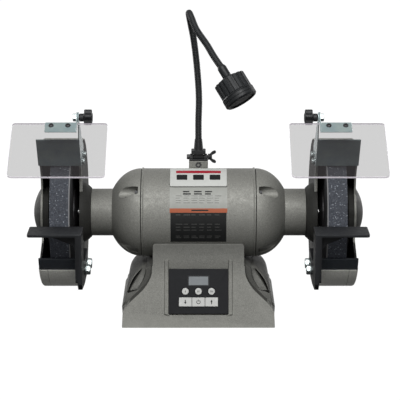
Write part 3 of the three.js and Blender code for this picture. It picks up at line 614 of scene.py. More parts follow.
def printed(name, colour, roughness=0.35, metallic=0.0, shine=0.35):
    """Screen print or foil: nearly even, with a fine mottle."""
    finish = Finish(name, Metallic=metallic, Specular_IOR_Level=shine)
    finish.colour(finish.mix(finish.noise(120, 3), shade(colour, 0.9), shade(colour, 1.08)))
    finish.roughness(finish.ramp(finish.noise(300, 2), roughness - 0.06, roughness + 0.1, 0.3, 0.7))
    finish.bump([(finish.noise(1400, 2), 1.0)], 0.00001, 0.4)
    return finish.material


GREY = (0.235, 0.235, 0.215)
motor_paint = painted("motor_paint", shade(GREY, 0.84), 0.4, 0.62)
# The base carries painted shade, darker upwards towards the motor.
base_paint = painted("base_paint", shade(GREY, 0.86), 0.4, 0.62, 330, 0.00014, 0.16, shadow=(0.062, 0.112))
# Painted shade on the lobes behind the front shell.
lobe_painted_shade = painted("lobe_painted_shade", shade(GREY, 0.36), 0.4, 0.62, 330, 0.00014, 0.16)
guard_paint = painted("guard_paint", shade(GREY, 1.1), 0.4, 0.55, 330, 0.00012, 0.16)
# Dark paint on the hub, and painted shade on the guard's dome and skirt.
hub_paint_and_dome_shade = painted("hub_paint_and_dome_shade", shade(GREY, 0.13), 0.05, 0.68, 330, 0.00012, 0.16, shine=0.25)
# Painted light: the guard's motor-side face is made much lighter.
face_painted_light = painted("face_painted_light", shade(GREY, 4.0), 0.3, 0.35, 330, 0.00005, 0.12, shine=0.5)
# Painted light: the guard's lower front rim is made lighter.
rim_painted_light = painted("rim_painted_light", shade(GREY, 3.0), 0.1, 0.5, 330, 0.00008, 0.12)
# Painted shade: the inside of the guard's drum is near black.
inside_painted_shade = painted("inside_painted_shade", (0.008, 0.0085, 0.012), 0.0, 0.6, 500, 0.00008, shine=0.3)
liner_paint = painted("liner_paint", (0.03, 0.035, 0.042), 0.0, 0.5, 700, 0.00004)
black_paint = painted("black_paint", (0.008, 0.0085, 0.0095), 0.0, 0.55, 500, 0.00006, 0.15, 4.0, 0.22)
lamp_paint = painted("lamp_paint", (0.011, 0.012, 0.013), 0.0, 0.5, 600, 0.00004, 0.15, 2.4, 0.25)
black_plastic = plastic("black_plastic", (0.012, 0.0125, 0.0135))
panel_plastic = plastic("panel_plastic", (0.013, 0.0135, 0.015), 0.5, shine=0.15)
key_plastic = plastic("key_plastic", (0.49, 0.495, 0.48), 0.4, 1400, 0.00001, 0.04)
zinc = metal("zinc", (0.24, 0.31, 0.33), 0.4, 0.35, (1, 1, 0.05), 0.14, (0.29, 0.345, 0.33))
# Painted reflection: lighter zinc for faces that look along the spindle.
zinc_side_sheen = metal("zinc_side_sheen", (0.72, 0.8, 0.82), 0.24, 0.3, (1, 1, 0.05), 0.14, (0.6, 0.7, 0.7))
bright_zinc = metal("bright_zinc", (0.36, 0.4, 0.4), 0.34, 0.8)
steel = metal("steel", (0.42, 0.42, 0.415), 0.3, 1.0, (0.05, 1, 1))
copper = metal("copper", (0.42, 0.16, 0.07), 0.35, 1.0)
dark_screw = metal("dark_screw", (0.05, 0.05, 0.052), 0.4, 0.6)
abrasive = grindstone()
# Painted highlight on the wheel's chamfer on the motor's side.
wheel_edge_highlight = printed("wheel_edge_highlight", (0.3, 0.3, 0.31), 0.9)
# Painted shade on the wheel's side faces.
wheel_side = printed("wheel_side", (0.016, 0.017, 0.019), 0.95)
blotter_paper = printed("blotter_paper", (0.03, 0.02, 0.018), 0.8)
pane_sheet = clear_sheet("pane_sheet", (0.05, 0.046, 0.048), 0.24, 0.1)
# Painted light: the pane's edges glow.
pane_edge_glow = clear_sheet("pane_edge_glow", (0.82, 0.77, 0.84), 0.85, 0.2, 0.28)
badge_white = printed("badge_white", (0.45, 0.46, 0.44), 0.5)
badge_red = printed("badge_red", (0.29, 0.011, 0.023), 0.5)
print_black = printed("print_black", (0.011, 0.0115, 0.0115), 0.5, shine=0.2)
print_orange = printed("print_orange", (0.31, 0.075, 0.028), 0.5)
print_silver = printed("print_silver", (0.26, 0.265, 0.245), 0.5)
print_grey = printed("print_grey", (0.1, 0.1, 0.096), 0.5)
print_fine = printed("print_fine", (0.045, 0.045, 0.044), 0.5)
display_glass = printed("display_glass", (0.2, 0.215, 0.225), 0.18)
board_green = printed("board_green", (0.02, 0.1, 0.05), 0.4)
# Painted reflection: the lens is near black for the dark it reflects.
lens_glass = printed("lens_glass", (0.01, 0.01, 0.011), 0.45, shine=0.12)
# Painted highlight: the bright arc on the lens rim.
lens_highlight_metal = metal("lens_highlight_metal", (0.7, 0.72, 0.72), 0.35, 0.4)


# ---------- base ----------
def shell_outline(extra):
    """Half width of the front and back shells against height, an S-curve below a saddle."""
    curve = bezier((107.5, 22), (95, 44), (66.5 + extra, 50), (66 + extra, 84 - extra), 28)
    flare = [(u + extra * 0.3, v) for u, v in curve]
    top = rounded([(SADDLE_HALF_WIDTH, 86), (SADDLE_HALF_WIDTH, SADDLE_HEIGHT, 4.5), (0, SADDLE_HEIGHT)])
    return mirrored([(BASE_HALF_WIDTH, 0), *flare, *top[:-1]])


def lobe_outline():
    knots = ((BASE_HALF_WIDTH, 0), (106.5, 18), (103.5, 38), (100, 52), (91.5, 66.5), (80, 75.5))
    points = [Vector(p) for p in knots]
    curve = [tuple(catmull(points, i / 24)) for i in range(25)]
    return mirrored([*curve, (60, 78.5)])


def lobe_side():
    half = [Vector(p) for p in ((70, 0), (66, 30), (58, 52), (44, 68), (26, 78), (20, 80))]
    return mirrored([tuple(catmull(half, i / 20)) for i in range(21)])


def front_face(thing):
    """From the tilted frame of the front face to the base's frame, in millimetres."""
    return placed(thing, BASE.inverted() @ PANEL)


def crescent(side):
    """The dark pocket between the flared shell and the lobe behind it."""
    outer = bezier((82, 71), (91, 65.5), (97.5, 57), (100.8, 43), 16)
    inner = bezier((100, 42.5), (95, 53), (89, 60.5), (82, 69), 16)
    points = [(side * u, v) for u, v in outer + inner]
    return prism(points, -76, -34, "Y")


def panel_recess():
    top = PANEL_HALF_HEIGHT
    low = -top - 0.5
    dish = [(-4, top + 12), (0, top + 12), (4, top), (4, low), (-4, low)]
    return front_face(prism(dish, -PANEL_HALF_WIDTH, PANEL_HALF_WIDTH))


def panel_rib(side):
    outline = rectangle(side * 45 - 3, side * 45 + 3, -PANEL_HALF_HEIGHT - 1, PANEL_HALF_HEIGHT + 12, 1.6)
    return front_face(prism(outline, -2, 2, "Y"))


STUDS = [(x, y) for x in (-78, 78) for y in (-64, 64)]


def base_casting():
    depth = BASE_HALF_DEPTH + 2
    shell = prism(shell_outline(0), -depth, depth, "Y")
    join(shell, prism(shell_outline(7), -60, 60, "Y"))
    side = [(-BASE_HALF_DEPTH, 0), (BASE_HALF_DEPTH, 0),
            (SADDLE_HALF_DEPTH, SADDLE_HEIGHT), (-SADDLE_HALF_DEPTH, SADDLE_HEIGHT)]
    overlap(shell, prism(side, -110, 110))
    lobes = overlap(prism(lobe_outline(), -72, 72, "Y"), prism(lobe_side(), -110, 110))
    cut(lobes, crescent(1), crescent(-1))
    join(shell, lobes, panel_rib(-1), panel_rib(1))
    hollow = prism(mirrored([(88, -1), (88, 14), (82, 32), (58, 64)]), -90, 90, "Y")
    overlap(hollow, prism(mirrored([(76, -1), (76, 10), (64, 64)]), -100, 100))
    cut(
        shell,
        rod(MOTOR_RADIUS + 0.5, -90, 90, "X", (0, AXIS_HEIGHT), 128),
        hollow,
        panel_recess(),
        front_face(box(-39.4, 39.4, 3, 18, -29.2, 29.2)),
        rod(8, 50, 90, "Z"),
        rod(6.3, 60, 95, "Y", (GLAND_X, GLAND_Z)),
        rod(11, GLAND_SEAT - GAP, depth + 3, "Y", (GLAND_X, GLAND_Z)),
    )
    for place in STUDS:
        join(shell, rod(8, 2.3, 40, "Z", place, 24))
    for place in STUDS:
        cut(shell, rod(3.4, -1, 24, "Z", place, 16))
    return cut(shell, box(-96.3, 96.3, -82.3, 82.3, -1, 2.3))


def paint_lobe_shade(thing):
    """The lobes behind the front shell get a darker paint: painted shade."""
    thing.data.materials.append(lobe_painted_shade)
    for face in thing.data.polygons:
        x, y, z = (abs(value) * 1000 for value in face.center)
        if x > SADDLE_HALF_WIDTH + 1 and y < 74 and z < 84:
            face.material_index = 1


paint_lobe_shade(piece("base_casting_body", base_casting(), BASE, base_paint, stands_for=["base_casting"],
                  slot="cast_iron_paint", bevel=0.9, limit=28))


def cable_gland():
    body = rod(6, 78, 98, "Y", (GLAND_X, GLAND_Z))
    nut = rod(9.5, GLAND_SEAT, 98, "Y", (GLAND_X, GLAND_Z), 6)
    cap = [(97, 0), (97, 8), (103, 7.6), (105.4, 6.4), (106, 5.2), (106, 0)]
    join(body, nut, lathe(cap, "Y", 64, (GLAND_X, GLAND_Z)))
    return cut(body, rod(3.6, 77, 107, "Y", (GLAND_X, GLAND_Z)))


piece("cable_gland_body", cable_gland(), BASE, black_plastic, stands_for=["cable_gland"],
      slot="black_plastic", bevel=0.4)


# ---------- control panel ----------
def panel_plate():
    w = PANEL_HALF_WIDTH - GAP
    h = PANEL_HALF_HEIGHT - GAP
    plate = prism(rectangle(-w, w, -h, h, 1.2), PANEL_FRONT, 4 - GAP, "Y")
    window = (DISPLAY_HALF_WIDTH + GAP, DISPLAY_HALF_HEIGHT + GAP)
    row = 1.5 * KEY_PITCH + GAP
    half = KEY_HEIGHT / 2 + GAP
    cut(
        plate,
        box(-window[0], window[0], 0, 5, DISPLAY_Z - window[1], DISPLAY_Z + window[1]),
        box(-row, row, 0, 5, KEY_Z - half, KEY_Z + half),
        *[rod(PRESET_RADIUS + GAP, 0, 5, "Y", (k * KEY_PITCH, 0)) for k in (-1, 0, 1)],
    )
    return plate


def display_bezel():
    """A thin frame printed round the display."""
    w = DISPLAY_HALF_WIDTH
    h = DISPLAY_HALF_HEIGHT
    ring = prism(rectangle(-w - 1.6, w + 1.6, DISPLAY_Z - h - 1.6, DISPLAY_Z + h + 1.6, 1), 1.0, PANEL_FRONT + 0.02, "Y")
    return cut(ring, box(-w - GAP, w + GAP, 0, 5, DISPLAY_Z - h - GAP, DISPLAY_Z + h + GAP))


def preset_button(k):
    front = PANEL_FRONT - 1.5
    profile = [(6, 0), (6, PRESET_RADIUS), (front + 0.6, PRESET_RADIUS)]
    dome = [(front + 0.6 - 0.6 * math.sin(a), PRESET_RADIUS - 0.8 + 0.8 * math.cos(a))
            for a in (0.5, 1.0, 1.5)]
    return lathe([*profile, *dome, (front - 0.05, 0)], "Y", 64, (k * KEY_PITCH, 0))


def preset_marks(count):
    """One, two or three strokes name the speeds without words."""
    k = count - 2
    strokes = []
    for i in range(count):
        x = k * KEY_PITCH + (i - (count - 1) / 2) * 1.7
        strokes.append(prism(rectangle(x - 0.45, x + 0.45, -1.5, 1.5, 0.3), -0.42, -0.2, "Y"))
    return join(*strokes)


def arrow(x, up):
    way = 1 if up else -1
    head = [(x - 1.7, KEY_Z), (x + 1.7, KEY_Z), (x, KEY_Z + way * 3.2)]
    shaft = box(x - 0.6, x + 0.6, -0.75, -0.5, min(KEY_Z, KEY_Z - way * 3), max(KEY_Z, KEY_Z - way * 3))
    return join(prism(head, -0.75, -0.5, "Y"), shaft)


def power_sign():
    """A broken ring with a stroke in its gap."""
    outer = arc(0, KEY_Z, 2.9, 120, 420, 40)
    inner = arc(0, KEY_Z, 2.1, 420, 120, 40)
    sign = prism(outer + inner, -0.75, -0.5, "Y")
    return join(sign, box(-0.4, 0.4, -0.75, -0.5, KEY_Z + 0.6, KEY_Z + 3.5))


def key_cap(k):
    x = k * KEY_PITCH
    w = KEY_WIDTH / 2
    h = KEY_HEIGHT / 2
    return prism(rectangle(x - w, x + w, KEY_Z - h, KEY_Z + h, 0.8), PANEL_FRONT - 1.8, 6, "Y")


piece("control_panel_plate", panel_plate(), PANEL, panel_plastic, stands_for=["control_panel"],
      slot="black_plastic", bevel=0.25, smooth=False)
piece("display_frame", display_bezel(), PANEL, black_plastic, slot="black_plastic", bevel=0)
for index, word in enumerate(("low", "mid", "high")):
    body = f"preset_{word}_button"
    piece(f"preset_{word}_cap", preset_button(index - 1), PANEL, key_plastic, body,
          [f"preset_{word}"], slot="white_plastic", bevel=0)
    piece(f"preset_{word}_mark", preset_marks(index + 1), PANEL, print_grey, body, bevel=0)
KEY_SIGNS = (("down", arrow(-KEY_PITCH, False)), ("power", power_sign()), ("up", arrow(KEY_PITCH, True)))
for index, (word, sign) in enumerate(KEY_SIGNS):
    piece(f"key_{word}_cap", key_cap(index - 1), PANEL, key_plastic, f"{word}_key", [f"key_{word}"],
          slot="white_plastic", bevel=0.35)
    piece(f"key_{word}_sign", sign, PANEL, print_black, f"{word}_key", bevel=0)


# ---------- motor ----------
def motor_frame():
    end = MOTOR_HALF_LENGTH - GAP / 2 - 0.7
    bore = MOTOR_RADIUS - 5
    bead = MOTOR_RADIUS + 1.2
    tube = lathe([(-end, bore), (-end, bead), (-end + 2, bead), (-end + 3, MOTOR_RADIUS),
                  (end - 3, MOTOR_RADIUS), (end - 2, bead), (end, bead), (end, bore)], "X", 160)
    return cut(tube, rod(8, -70, -50, "Z"))


def bell_radius(x, inset=0):
    reach = (x - MOTOR_HALF_LENGTH) / (BELL_DEPTH - inset)
    return (MOTOR_RADIUS - inset) * math.sqrt(max(0, 1 - reach * reach))


def around_tie_bolts(make):
    for index in range(4):
        yield placed(make(), turn(math.pi / 4 + index * math.pi / 2))


def end_bell():
    seam = MOTOR_HALF_LENGTH + GAP / 2
    dome_end = MOTOR_HALF_LENGTH + BELL_DEPTH * math.sqrt(1 - (NECK_RADIUS / MOTOR_RADIUS) ** 2)
    steps = 28
    dome = []
    for i in range(steps + 1):
        x = seam + (dome_end - seam) * math.sin(i / steps * 0.5 * math.pi)
        dome.append((x, bell_radius(x)))
    skin = [(seam, 0), *dome, (NECK_END, NECK_RADIUS), (NECK_END, 0)]
    bell = lathe(skin, "X", 160)
    inner = [(seam + (dome_end - 5 - seam) * i / 8, bell_radius(seam + (dome_end - 5 - seam) * i / 8, 5))
             for i in range(9)]
    hollow = [(seam - 1, 0), (seam - 1, MOTOR_RADIUS - 5), *inner, (dome_end - 5, 23.8), (150.3, 23.8), (150.3, 0)]
    cut(bell, lathe(hollow, "X", 64))
    for boss in around_tie_bolts(lambda: rod(9, seam, 116, "X", (54, 0), 32)):
        join(bell, overlap(boss, lathe(skin, "X", 96)))
    for pocket in around_tie_bolts(lambda: rod(POCKET_RADIUS, POCKET_START, 125, "X", (POCKET_CIRCLE, 0), 48)):
        cut(bell, pocket)
    for hole in around_tie_bolts(lambda: rod(3.1, 80, 95, "X", (54, 0), 24)):
        cut(bell, hole)
    return cut(bell, rod(11.5, 140, 160, "X"))


piece("motor_frame_shell", motor_frame(), SPINDLE, motor_paint, stands_for=["motor_frame"],
      slot="casting_paint", bevel=0.3)
pair("end_bell_shell", end_bell(), SPINDLE, motor_paint, stands_for=["end_bell_*"],
     slot="casting_paint", bevel=0.7)


def curved_sheet(half, start, end, inner, outer, corner=0.0):
    """A sheet wrapped on the motor: |x| up to half, angles from +Y over the top to -Y."""
    radius = (inner + outer) / 2
    low = math.radians(start) * radius
    high = math.radians(end) * radius
    outline = rectangle(-half, half, low, high, corner)
    flat = prism(outline, inner, outer, "Z")
    shape = bmesh.new()
    shape.from_mesh(flat.data)
    for k in range(1, int((end - start) / 1.5) + 1):
        y = low + (high - low) * k / (int((end - start) / 1.5) + 1)
        geometry = shape.verts[:] + shape.edges[:] + shape.faces[:]
        bmesh.ops.bisect_plane(shape, geom=geometry, plane_co=(0, y, 0), plane_no=(0, 1, 0))
    for vertex in shape.verts:
        angle = vertex.co.y / radius
        reach = vertex.co.z
        vertex.co.y = reach * math.cos(angle)
        vertex.co.z = reach * math.sin(angle)
    shape.to_mesh(flat.data)
    shape.free()
    return flat


LABEL = MOTOR_RADIUS + 0.25
PRINT = LABEL + 0.08


def label_line(x0, x1, angle, tall, lift=PRINT):
    sheet = curved_sheet((x1 - x0) / 2, angle, angle + tall, LABEL - 0.05, lift)
    return placed(sheet, move((x0 + x1) / 2, 0, 0))


def greeked_lines(rows, left, right, seed, words=5):
    """Rows of plain dashes where the real label has words."""
    chance = random.Random(seed)
    dashes = []
    for angle, tall in rows:
        x = left
        for _ in range(words):
            length = (right - left) / words * chance.uniform(0.5, 0.85)
            dashes.append(label_line(x, x + length, angle, tall))
            x += (right - left) / words
    return dashes


def merged(parts):
    """Separate shells in one mesh."""
    shape = bmesh.new()
    for part in parts:
        shape.from_mesh(part.data)
        bpy.data.objects.remove(part)
    mesh = bpy.data.meshes.new("merged")
    shape.to_mesh(mesh)
    shape.free()
    made = bpy.data.objects.new("merged", mesh)
    bpy.context.scene.collection.objects.link(made)
    return made


piece("badge_plate_body", curved_sheet(40.5, 93, 131, MOTOR_RADIUS + GAP, MOTOR_RADIUS + 2.8, 2.5), SPINDLE,
      badge_white, stands_for=["badge_plate"], slot="badge", bevel=0.9, limit=50)
piece("badge_bar", curved_sheet(32, 101.7, 108, MOTOR_RADIUS + 2.5, MOTOR_RADIUS + 2.95, 0.4), SPINDLE,
      badge_red, bevel=0)
BADGE_BLOCKS = [placed(curved_sheet(7.6, 111.5, 121, MOTOR_RADIUS + 2.5, MOTOR_RADIUS + 2.95, 1.2), move(x, 0, 0))
                for x in (-23.5, 0, 23.5)]
piece("badge_blocks", merged(BADGE_BLOCKS), SPINDLE, print_black, bevel=0)
piece("label_silver", curved_sheet(40.7, 131.3, 160, MOTOR_RADIUS, LABEL, 0.5), SPINDLE, print_silver, bevel=0)
piece("label_orange", curved_sheet(40.7, 160, 165.5, MOTOR_RADIUS, LABEL + 0.02), SPINDLE, print_orange, bevel=0)
piece("label_black", curved_sheet(39.5, 165.5, 206, MOTOR_RADIUS, LABEL), SPINDLE, print_black, bevel=0)
TITLE = greeked_lines(((136.8, 1.9), (140.0, 1.9)), -22, 25, 3, 3)
DETAILS = greeked_lines(((143.4, 0.5), (146.4, 0.5), (149.4, 0.5), (152.6, 0.5)), -32, 34, 5, 6)
piece("label_title", merged(TITLE), SPINDLE, print_black, bevel=0)
piece("label_lines", merged(DETAILS), SPINDLE, print_fine, bevel=0)
piece("warning_line", label_line(-10, 14, 161.6, 1.8), SPINDLE, print_black, bevel=0)
FAINT = greeked_lines(((168, 0.5), (180, 0.4), (184, 0.4), (188, 0.4), (196.6, 0.5), (199.2, 0.5)), -32, 34, 8, 6)
piece("label_fine_print", merged(FAINT), SPINDLE, print_grey, bevel=0)


# ---------- wheels ----------
WHEEL_START = WHEEL_CENTRE - WHEEL_WIDTH / 2
WHEEL_END = WHEEL_CENTRE + WHEEL_WIDTH / 2


def wheel():
    bore = 8 + GAP
    return lathe([(WHEEL_START, bore), (WHEEL_START, WHEEL_RADIUS - 1.5), (WHEEL_START + 1.5, WHEEL_RADIUS),
                  (WHEEL_END - 0.6, WHEEL_RADIUS), (WHEEL_END, WHEEL_RADIUS - 0.6), (WHEEL_END, bore)], "X", 192)


def wheel_highlight_and_shade(thing):
    """Painted highlight and shade: the chamfer on the motor's side is lighter, and the sides are darker."""
    thing.data.materials.append(wheel_edge_highlight)
    thing.data.materials.append(wheel_side)
    for face in thing.data.polygons:
        sideways = abs(face.normal.x)
        if 0.3 < sideways < 0.97 and abs(face.center.x) < WHEEL_CENTRE / 1000:
            face.material_index = 1
        elif sideways >= 0.97:
            face.material_index = 2


def blotter(x0, x1):
    """The paper washer between the wheel and its flange."""
    return lathe([(x0, 9), (x0, 35.8), (x1, 35.8), (x1, 9)], "X", 96)


for stone in pair("grinding_wheel", wheel(), SPINDLE, abrasive, "spindle", ["wheel_*"], slot="abrasive", bevel=0):
    wheel_highlight_and_shade(stone)
pair("wheel_blotter_inner", blotter(WHEEL_START - 0.25, WHEEL_START - 0.02), SPINDLE, blotter_paper,
     "spindle", bevel=0)
pair("wheel_blotter_outer", blotter(WHEEL_END + 0.02, WHEEL_END + 0.25), SPINDLE, blotter_paper,
     "spindle", bevel=0)


# ---------- guards ----------
def mouth():
    """Everything in front of the guard's opening, as a (y, z) outline."""
    corner = bezier((-36, -36), (-28, -30.7), (-24, -18.7), (-24, 0), 12)
    throat = bezier((-24, 50), (-24, 67), (-35, 81), (-58, 90), 16)
    return [(-150, -60.5), (-86, -60.5), *corner, *throat, (-90, 150), (-150, 150)]


def inner_guard():
    x0 = GUARD_INNER_FACE
    seam = GUARD_SEAM - GAP / 2
    guard = rod(GUARD_RADIUS, x0, seam, "X", (0, 0), 160)
    port_x = (x0 + GUARD_SEAM) / 2
    join(guard, rod(PORT_RADIUS, 60, PORT_END, "Y", (port_x, PORT_Z), 64))
    cut(guard, rod(GUARD_RADIUS - GUARD_WALL, x0 + GUARD_PLATE, GUARD_SEAM + 1, "X", (0, 0), 160))
    cut(guard, prism(mouth(), x0 - 1, GUARD_SEAM + 1))
    hub = bezier((NECK_END + GAP, NECK_RADIUS + 1.5), (x0 - 9, 37.5), (x0 - 6, 41.5), (x0 - 1, 43), 10)
    profile = [(NECK_END + GAP, 0), *hub, (x0 + 1, HUB_RADIUS), (x0 + GUARD_PLATE, HUB_RADIUS), (x0 + GUARD_PLATE, 0)]
    join(guard, lathe(profile, "X", 128))
    lip = arc(0, 0, GUARD_RADIUS - 1.7, 204, 217, 10) + arc(0, 0, GUARD_RADIUS - 4.7, 217, 204, 10)
    join(guard, prism(lip, x0 + 0.5, GUARD_SEAM))
    for y, z in REST_BOLTS:
        join(guard, rod(8, x0 + 1, x0 + 8, "X", (y, z), 32))
    for y, z in REST_BOLTS:
        cut(guard, rod(4.4, x0 - 1, x0 + 9, "X", (y, z), 24))
    return cut(guard, rod(13, 140, 180), rod(PORT_RADIUS - PORT_WALL, 60, PORT_END + 3, "Y", (port_x, PORT_Z), 64))


def dome_profile(inset, base, steps=16):
    sphere = (DOME_RADIUS**2 + DOME_RISE**2) / (2 * DOME_RISE)
    centre = GUARD_OUTER_FACE + DOME_RISE - sphere
    radius = sphere - inset
    half = math.acos((base - centre) / radius)
    angles = [half * (1 - i / steps) for i in range(steps + 1)]
    return [(centre + radius * math.cos(a), radius * math.sin(a)) for a in angles]


def outer_cover():
    seam = GUARD_SEAM + GAP / 2
    face = GUARD_OUTER_FACE
    corner = arc(face - RIM_CORNER, GUARD_RADIUS - RIM_CORNER, RIM_CORNER, 90, 0, 8)
    cover = lathe([(seam, 0), (seam, GUARD_RADIUS), *corner, *dome_profile(0, face)], "X", 160)
    inner = face - GUARD_WALL
    bore = GUARD_RADIUS - GUARD_WALL
    hollow = [(seam - 1, 0), (seam - 1, bore), (inner - 3.5, bore), (inner - 1, bore - 1), (inner, bore - 3.5)]
    cut(cover, lathe([*hollow, *dome_profile(GUARD_WALL, inner)], "X", 128))
    opening = cut(prism(mouth(), seam - 1, 240), rod(DOME_RADIUS + 2, seam - 2, 241, "X", (0, 0), 96))
    skirt = [(SKIRT_START, DOME_RADIUS - SKIRT_WALL), (SKIRT_START, DOME_RADIUS), (inner + 1, DOME_RADIUS),
             (inner + 1, DOME_RADIUS - SKIRT_WALL)]
    return join(cut(cover, opening), lathe(skirt, "X", 96))


def pan_screw(y, z, low, radius=4.2, tall=2.4):
    """A button head with a hexagon socket, its seat at |x| low."""
    head = [(low, 0), (low, radius), (low + tall * 0.45, radius * 0.94), (low + tall * 0.8, radius * 0.72),
            (low + tall, radius * 0.5), (low + tall, 0)]
    screw = lathe(head, "X", 48, (y, z))
    return cut(screw, rod(radius * 0.42, low + tall * 0.4, low + tall + 1, "X", (y, z), 6))


COVER_SCREWS = [(101 * math.cos(math.radians(a)), 101 * math.sin(math.radians(a))) for a in (5, 78, 292)]
inner_pair = pair("guard_casting", inner_guard(), SPINDLE, guard_paint, stands_for=["inner_guard_*"],
                  slot="cast_iron_paint", bevel=0.6)
cover_pair = pair("guard_cover", outer_cover(), SPINDLE, guard_paint, stands_for=["outer_cover_*"],
                  slot="casting_paint", bevel=0.6)
cover_screws = merged([pan_screw(y, z, GUARD_OUTER_FACE - 0.6) for y, z in COVER_SCREWS])
pair("guard_cover_screws", cover_screws, SPINDLE, dark_screw, bevel=0)


def guard_paint_light_and_shade(thing):
    """Painted light and shade: the drum's inside is near black as painted shade, the hub is darker paint, the dome and
    skirt carry painted shade, and the motor-side face and the lower front rim are lighter as painted light.
    """
    for finish in (inside_painted_shade, hub_paint_and_dome_shade, face_painted_light, rim_painted_light):
        thing.data.materials.append(finish)
    for face in thing.data.polygons:
        x, y, z = (value * 1000 for value in face.center)
        x = abs(x)
        z -= AXIS_HEIGHT
        radius = math.hypot(y, z)
        inwards = face.normal.y * y + face.normal.z * z < 0
        flat = abs(face.normal.x) > 0.5
        in_drum = radius < GUARD_RADIUS - GUARD_WALL + 0.3
        between = GUARD_INNER_FACE + GUARD_PLATE - 0.5 < x < GUARD_OUTER_FACE - GUARD_WALL + 0.3
        if radius < HUB_RADIUS + 1 and x < GUARD_INNER_FACE + GUARD_PLATE + 0.5:
            face.material_index = 2
        elif radius < DOME_RADIUS + 1 and x > SKIRT_START - 1 and not (flat and abs(x - GUARD_OUTER_FACE) < 0.5):
            face.material_index = 2
        elif in_drum and between and (inwards or flat):
            face.material_index = 1
        elif flat and x < GUARD_INNER_FACE + 0.5:
            face.material_index = 3
        elif radius > GUARD_RADIUS - 6 and z < -60 and y < 0:
            face.material_index = 4


for guard in inner_pair + cover_pair:
    guard_paint_light_and_shade(guard)


def lip_liner():
    """The dark strip behind the mouth's lower edge, across the casting and its cover."""
    lip = arc(0, 0, GUARD_RADIUS - 1.4, 203.6, 216.2, 12) + arc(0, 0, GUARD_RADIUS - 5, 216.2, 203.6, 12)
    return prism(lip, GUARD_INNER_FACE + 0.3, GUARD_OUTER_FACE - 1)


pair("guard_lip_liner", lip_liner(), SPINDLE, liner_paint, bevel=0.4)


# ---------- tool rests ----------
def tool_rest():
    top, front, back = 7.8, -146, -104
    plan = rounded([(159.7, front), (234, front, 5), (234, back, 3), (159.7, back)])
    table = prism(plan, top - 4, top, "Z")
    plate = rounded([(front, top - 1), (front, -64, 3), (front + 8, -73.5, 6), (-92, -79.5, 10),
                     (-22, -79.5, 5), (-22, -47, 5), (-90, -47, 10), (-108, -38, 8), (-108, top - 1)])
    arm = prism(plate, 159.7, 165.7)
    flange = prism(rounded([(front, top - 1), (front, -62, 4), (front + 34, -62, 4), (front + 34, top - 1)]),
                   159.7, 168.7)
    web = [(165, top - 2), (214, top - 2), (196, top - 9), (174, top - 18), (165, top - 34)]
    join(table, arm, flange, prism(web, front + 12, front + 18, "Y"))
    slot = arc(-33, -64, 4.4, -90, 90, 12) + arc(-84, -64, 4.4, 90, 270, 12)
    return cut(table, prism(slot, 158, 170))


pair("tool_rest_casting", tool_rest(), SPINDLE, black_paint, "rest_*", ["tool_rest_*"],
     slot="black_paint", bevel=0.7)


def hex_bolt(y, z):
    """A chamfered hexagon head on a washer, with the end of its shank."""
    head = overlap(
        rod(7.5, 152.6, 158.4, "X", (y, z), 6),
        lathe([(152.6, 0), (152.6, 6.4), (154, 7.8), (158.4, 7.8), (158.4, 0)], "X", 48, (y, z)),
    )
    shank = rod(4, 158, GUARD_INNER_FACE + 6.5, "X", (y, z), 32)
    washer = rod(8, 158.1, 159.4, "X", (y, z), 48)
    return join(head, shank, washer)


for index, (y, z) in enumerate(REST_BOLTS, start=1):
    pair(f"rest_bolt_{index}_set", hex_bolt(y, z), SPINDLE, bright_zinc, stands_for=[f"rest_bolt_{index}_*"],
         slot="zinc", bevel=0.25)


# ---------- spark arrestors ----------
LEAN = (ARRESTOR_HIGH - ARRESTOR_LOW).normalized()
ACROSS = Vector((LEAN.y, -LEAN.x))
ARRESTOR_SLOTS = [Vector((-24, 90)), Vector((-48, 86))]


def arrestor():
    step = ACROSS * SHEET
    front = [tuple(p) for p in (ARRESTOR_LOW, ARRESTOR_HIGH, ARRESTOR_HIGH + step, ARRESTOR_LOW + step)]
    sheet = prism(front, ARRESTOR_SIDE, ARRESTOR_OUTER)
    side = rounded([tuple(ARRESTOR_LOW), (-14, 76, 3), (-14, 104, 6), (-48, 124, 10), (PIVOT_Y + 6.5, PIVOT_Z - 3)])
    side += arc(PIVOT_Y, PIVOT_Z, 7.2, -25, 190, 24)
    side.append(tuple(ARRESTOR_HIGH))
    join(sheet, prism(side, ARRESTOR_SIDE, ARRESTOR_SIDE + SHEET))
    cut(sheet, rod(3 + GAP, ARRESTOR_SIDE - 1, ARRESTOR_SIDE + 3, "X", (PIVOT_Y, PIVOT_Z)))
    tilt = math.degrees(math.atan2(LEAN.y, LEAN.x))
    for centre in ARRESTOR_SLOTS:
        low = centre - LEAN * 5.2
        high = centre + LEAN * 5.2
        slot = arc(*high, 2.8, tilt - 90, tilt + 90, 10) + arc(*low, 2.8, tilt + 90, tilt + 270, 10)
        cut(sheet, prism(slot, ARRESTOR_SIDE - 1, ARRESTOR_SIDE + 3))
    return sheet


def paint_side_sheen(made):
    """Faces that look along the spindle get a lighter zinc: a painted reflection."""
    for thing in made:
        thing.data.materials.append(zinc_side_sheen)
        for face in thing.data.polygons:
            if abs(face.normal.x) > 0.7:
                face.material_index = 1


paint_side_sheen(pair("spark_arrestor_sheet", arrestor(), SPINDLE, zinc, "arrestor_*", ["spark_arrestor_*"],
                  slot="zinc", bevel=0.35))


def flange_screw(centre):
    """A screw of the guard that holds the arrestor through its slot."""
    y, z = centre + LEAN * 2
    low = ARRESTOR_SIDE - 0.1
    head = lathe([(low, 0), (low, 6), (low - 0.9, 6), (low - 1.2, 4.6), (low - 3.6, 4.4), (low - 4.2, 3.6),
                  (low - 4.2, 0)], "X", 48, (y, z))
    return join(head, rod(2.4, low - 1, GUARD_INNER_FACE + 2, "X", (y, z), 24))


pair("arrestor_screws", merged([flange_screw(c) for c in ARRESTOR_SLOTS]), SPINDLE, bright_zinc, slot="zinc", bevel=0.2)


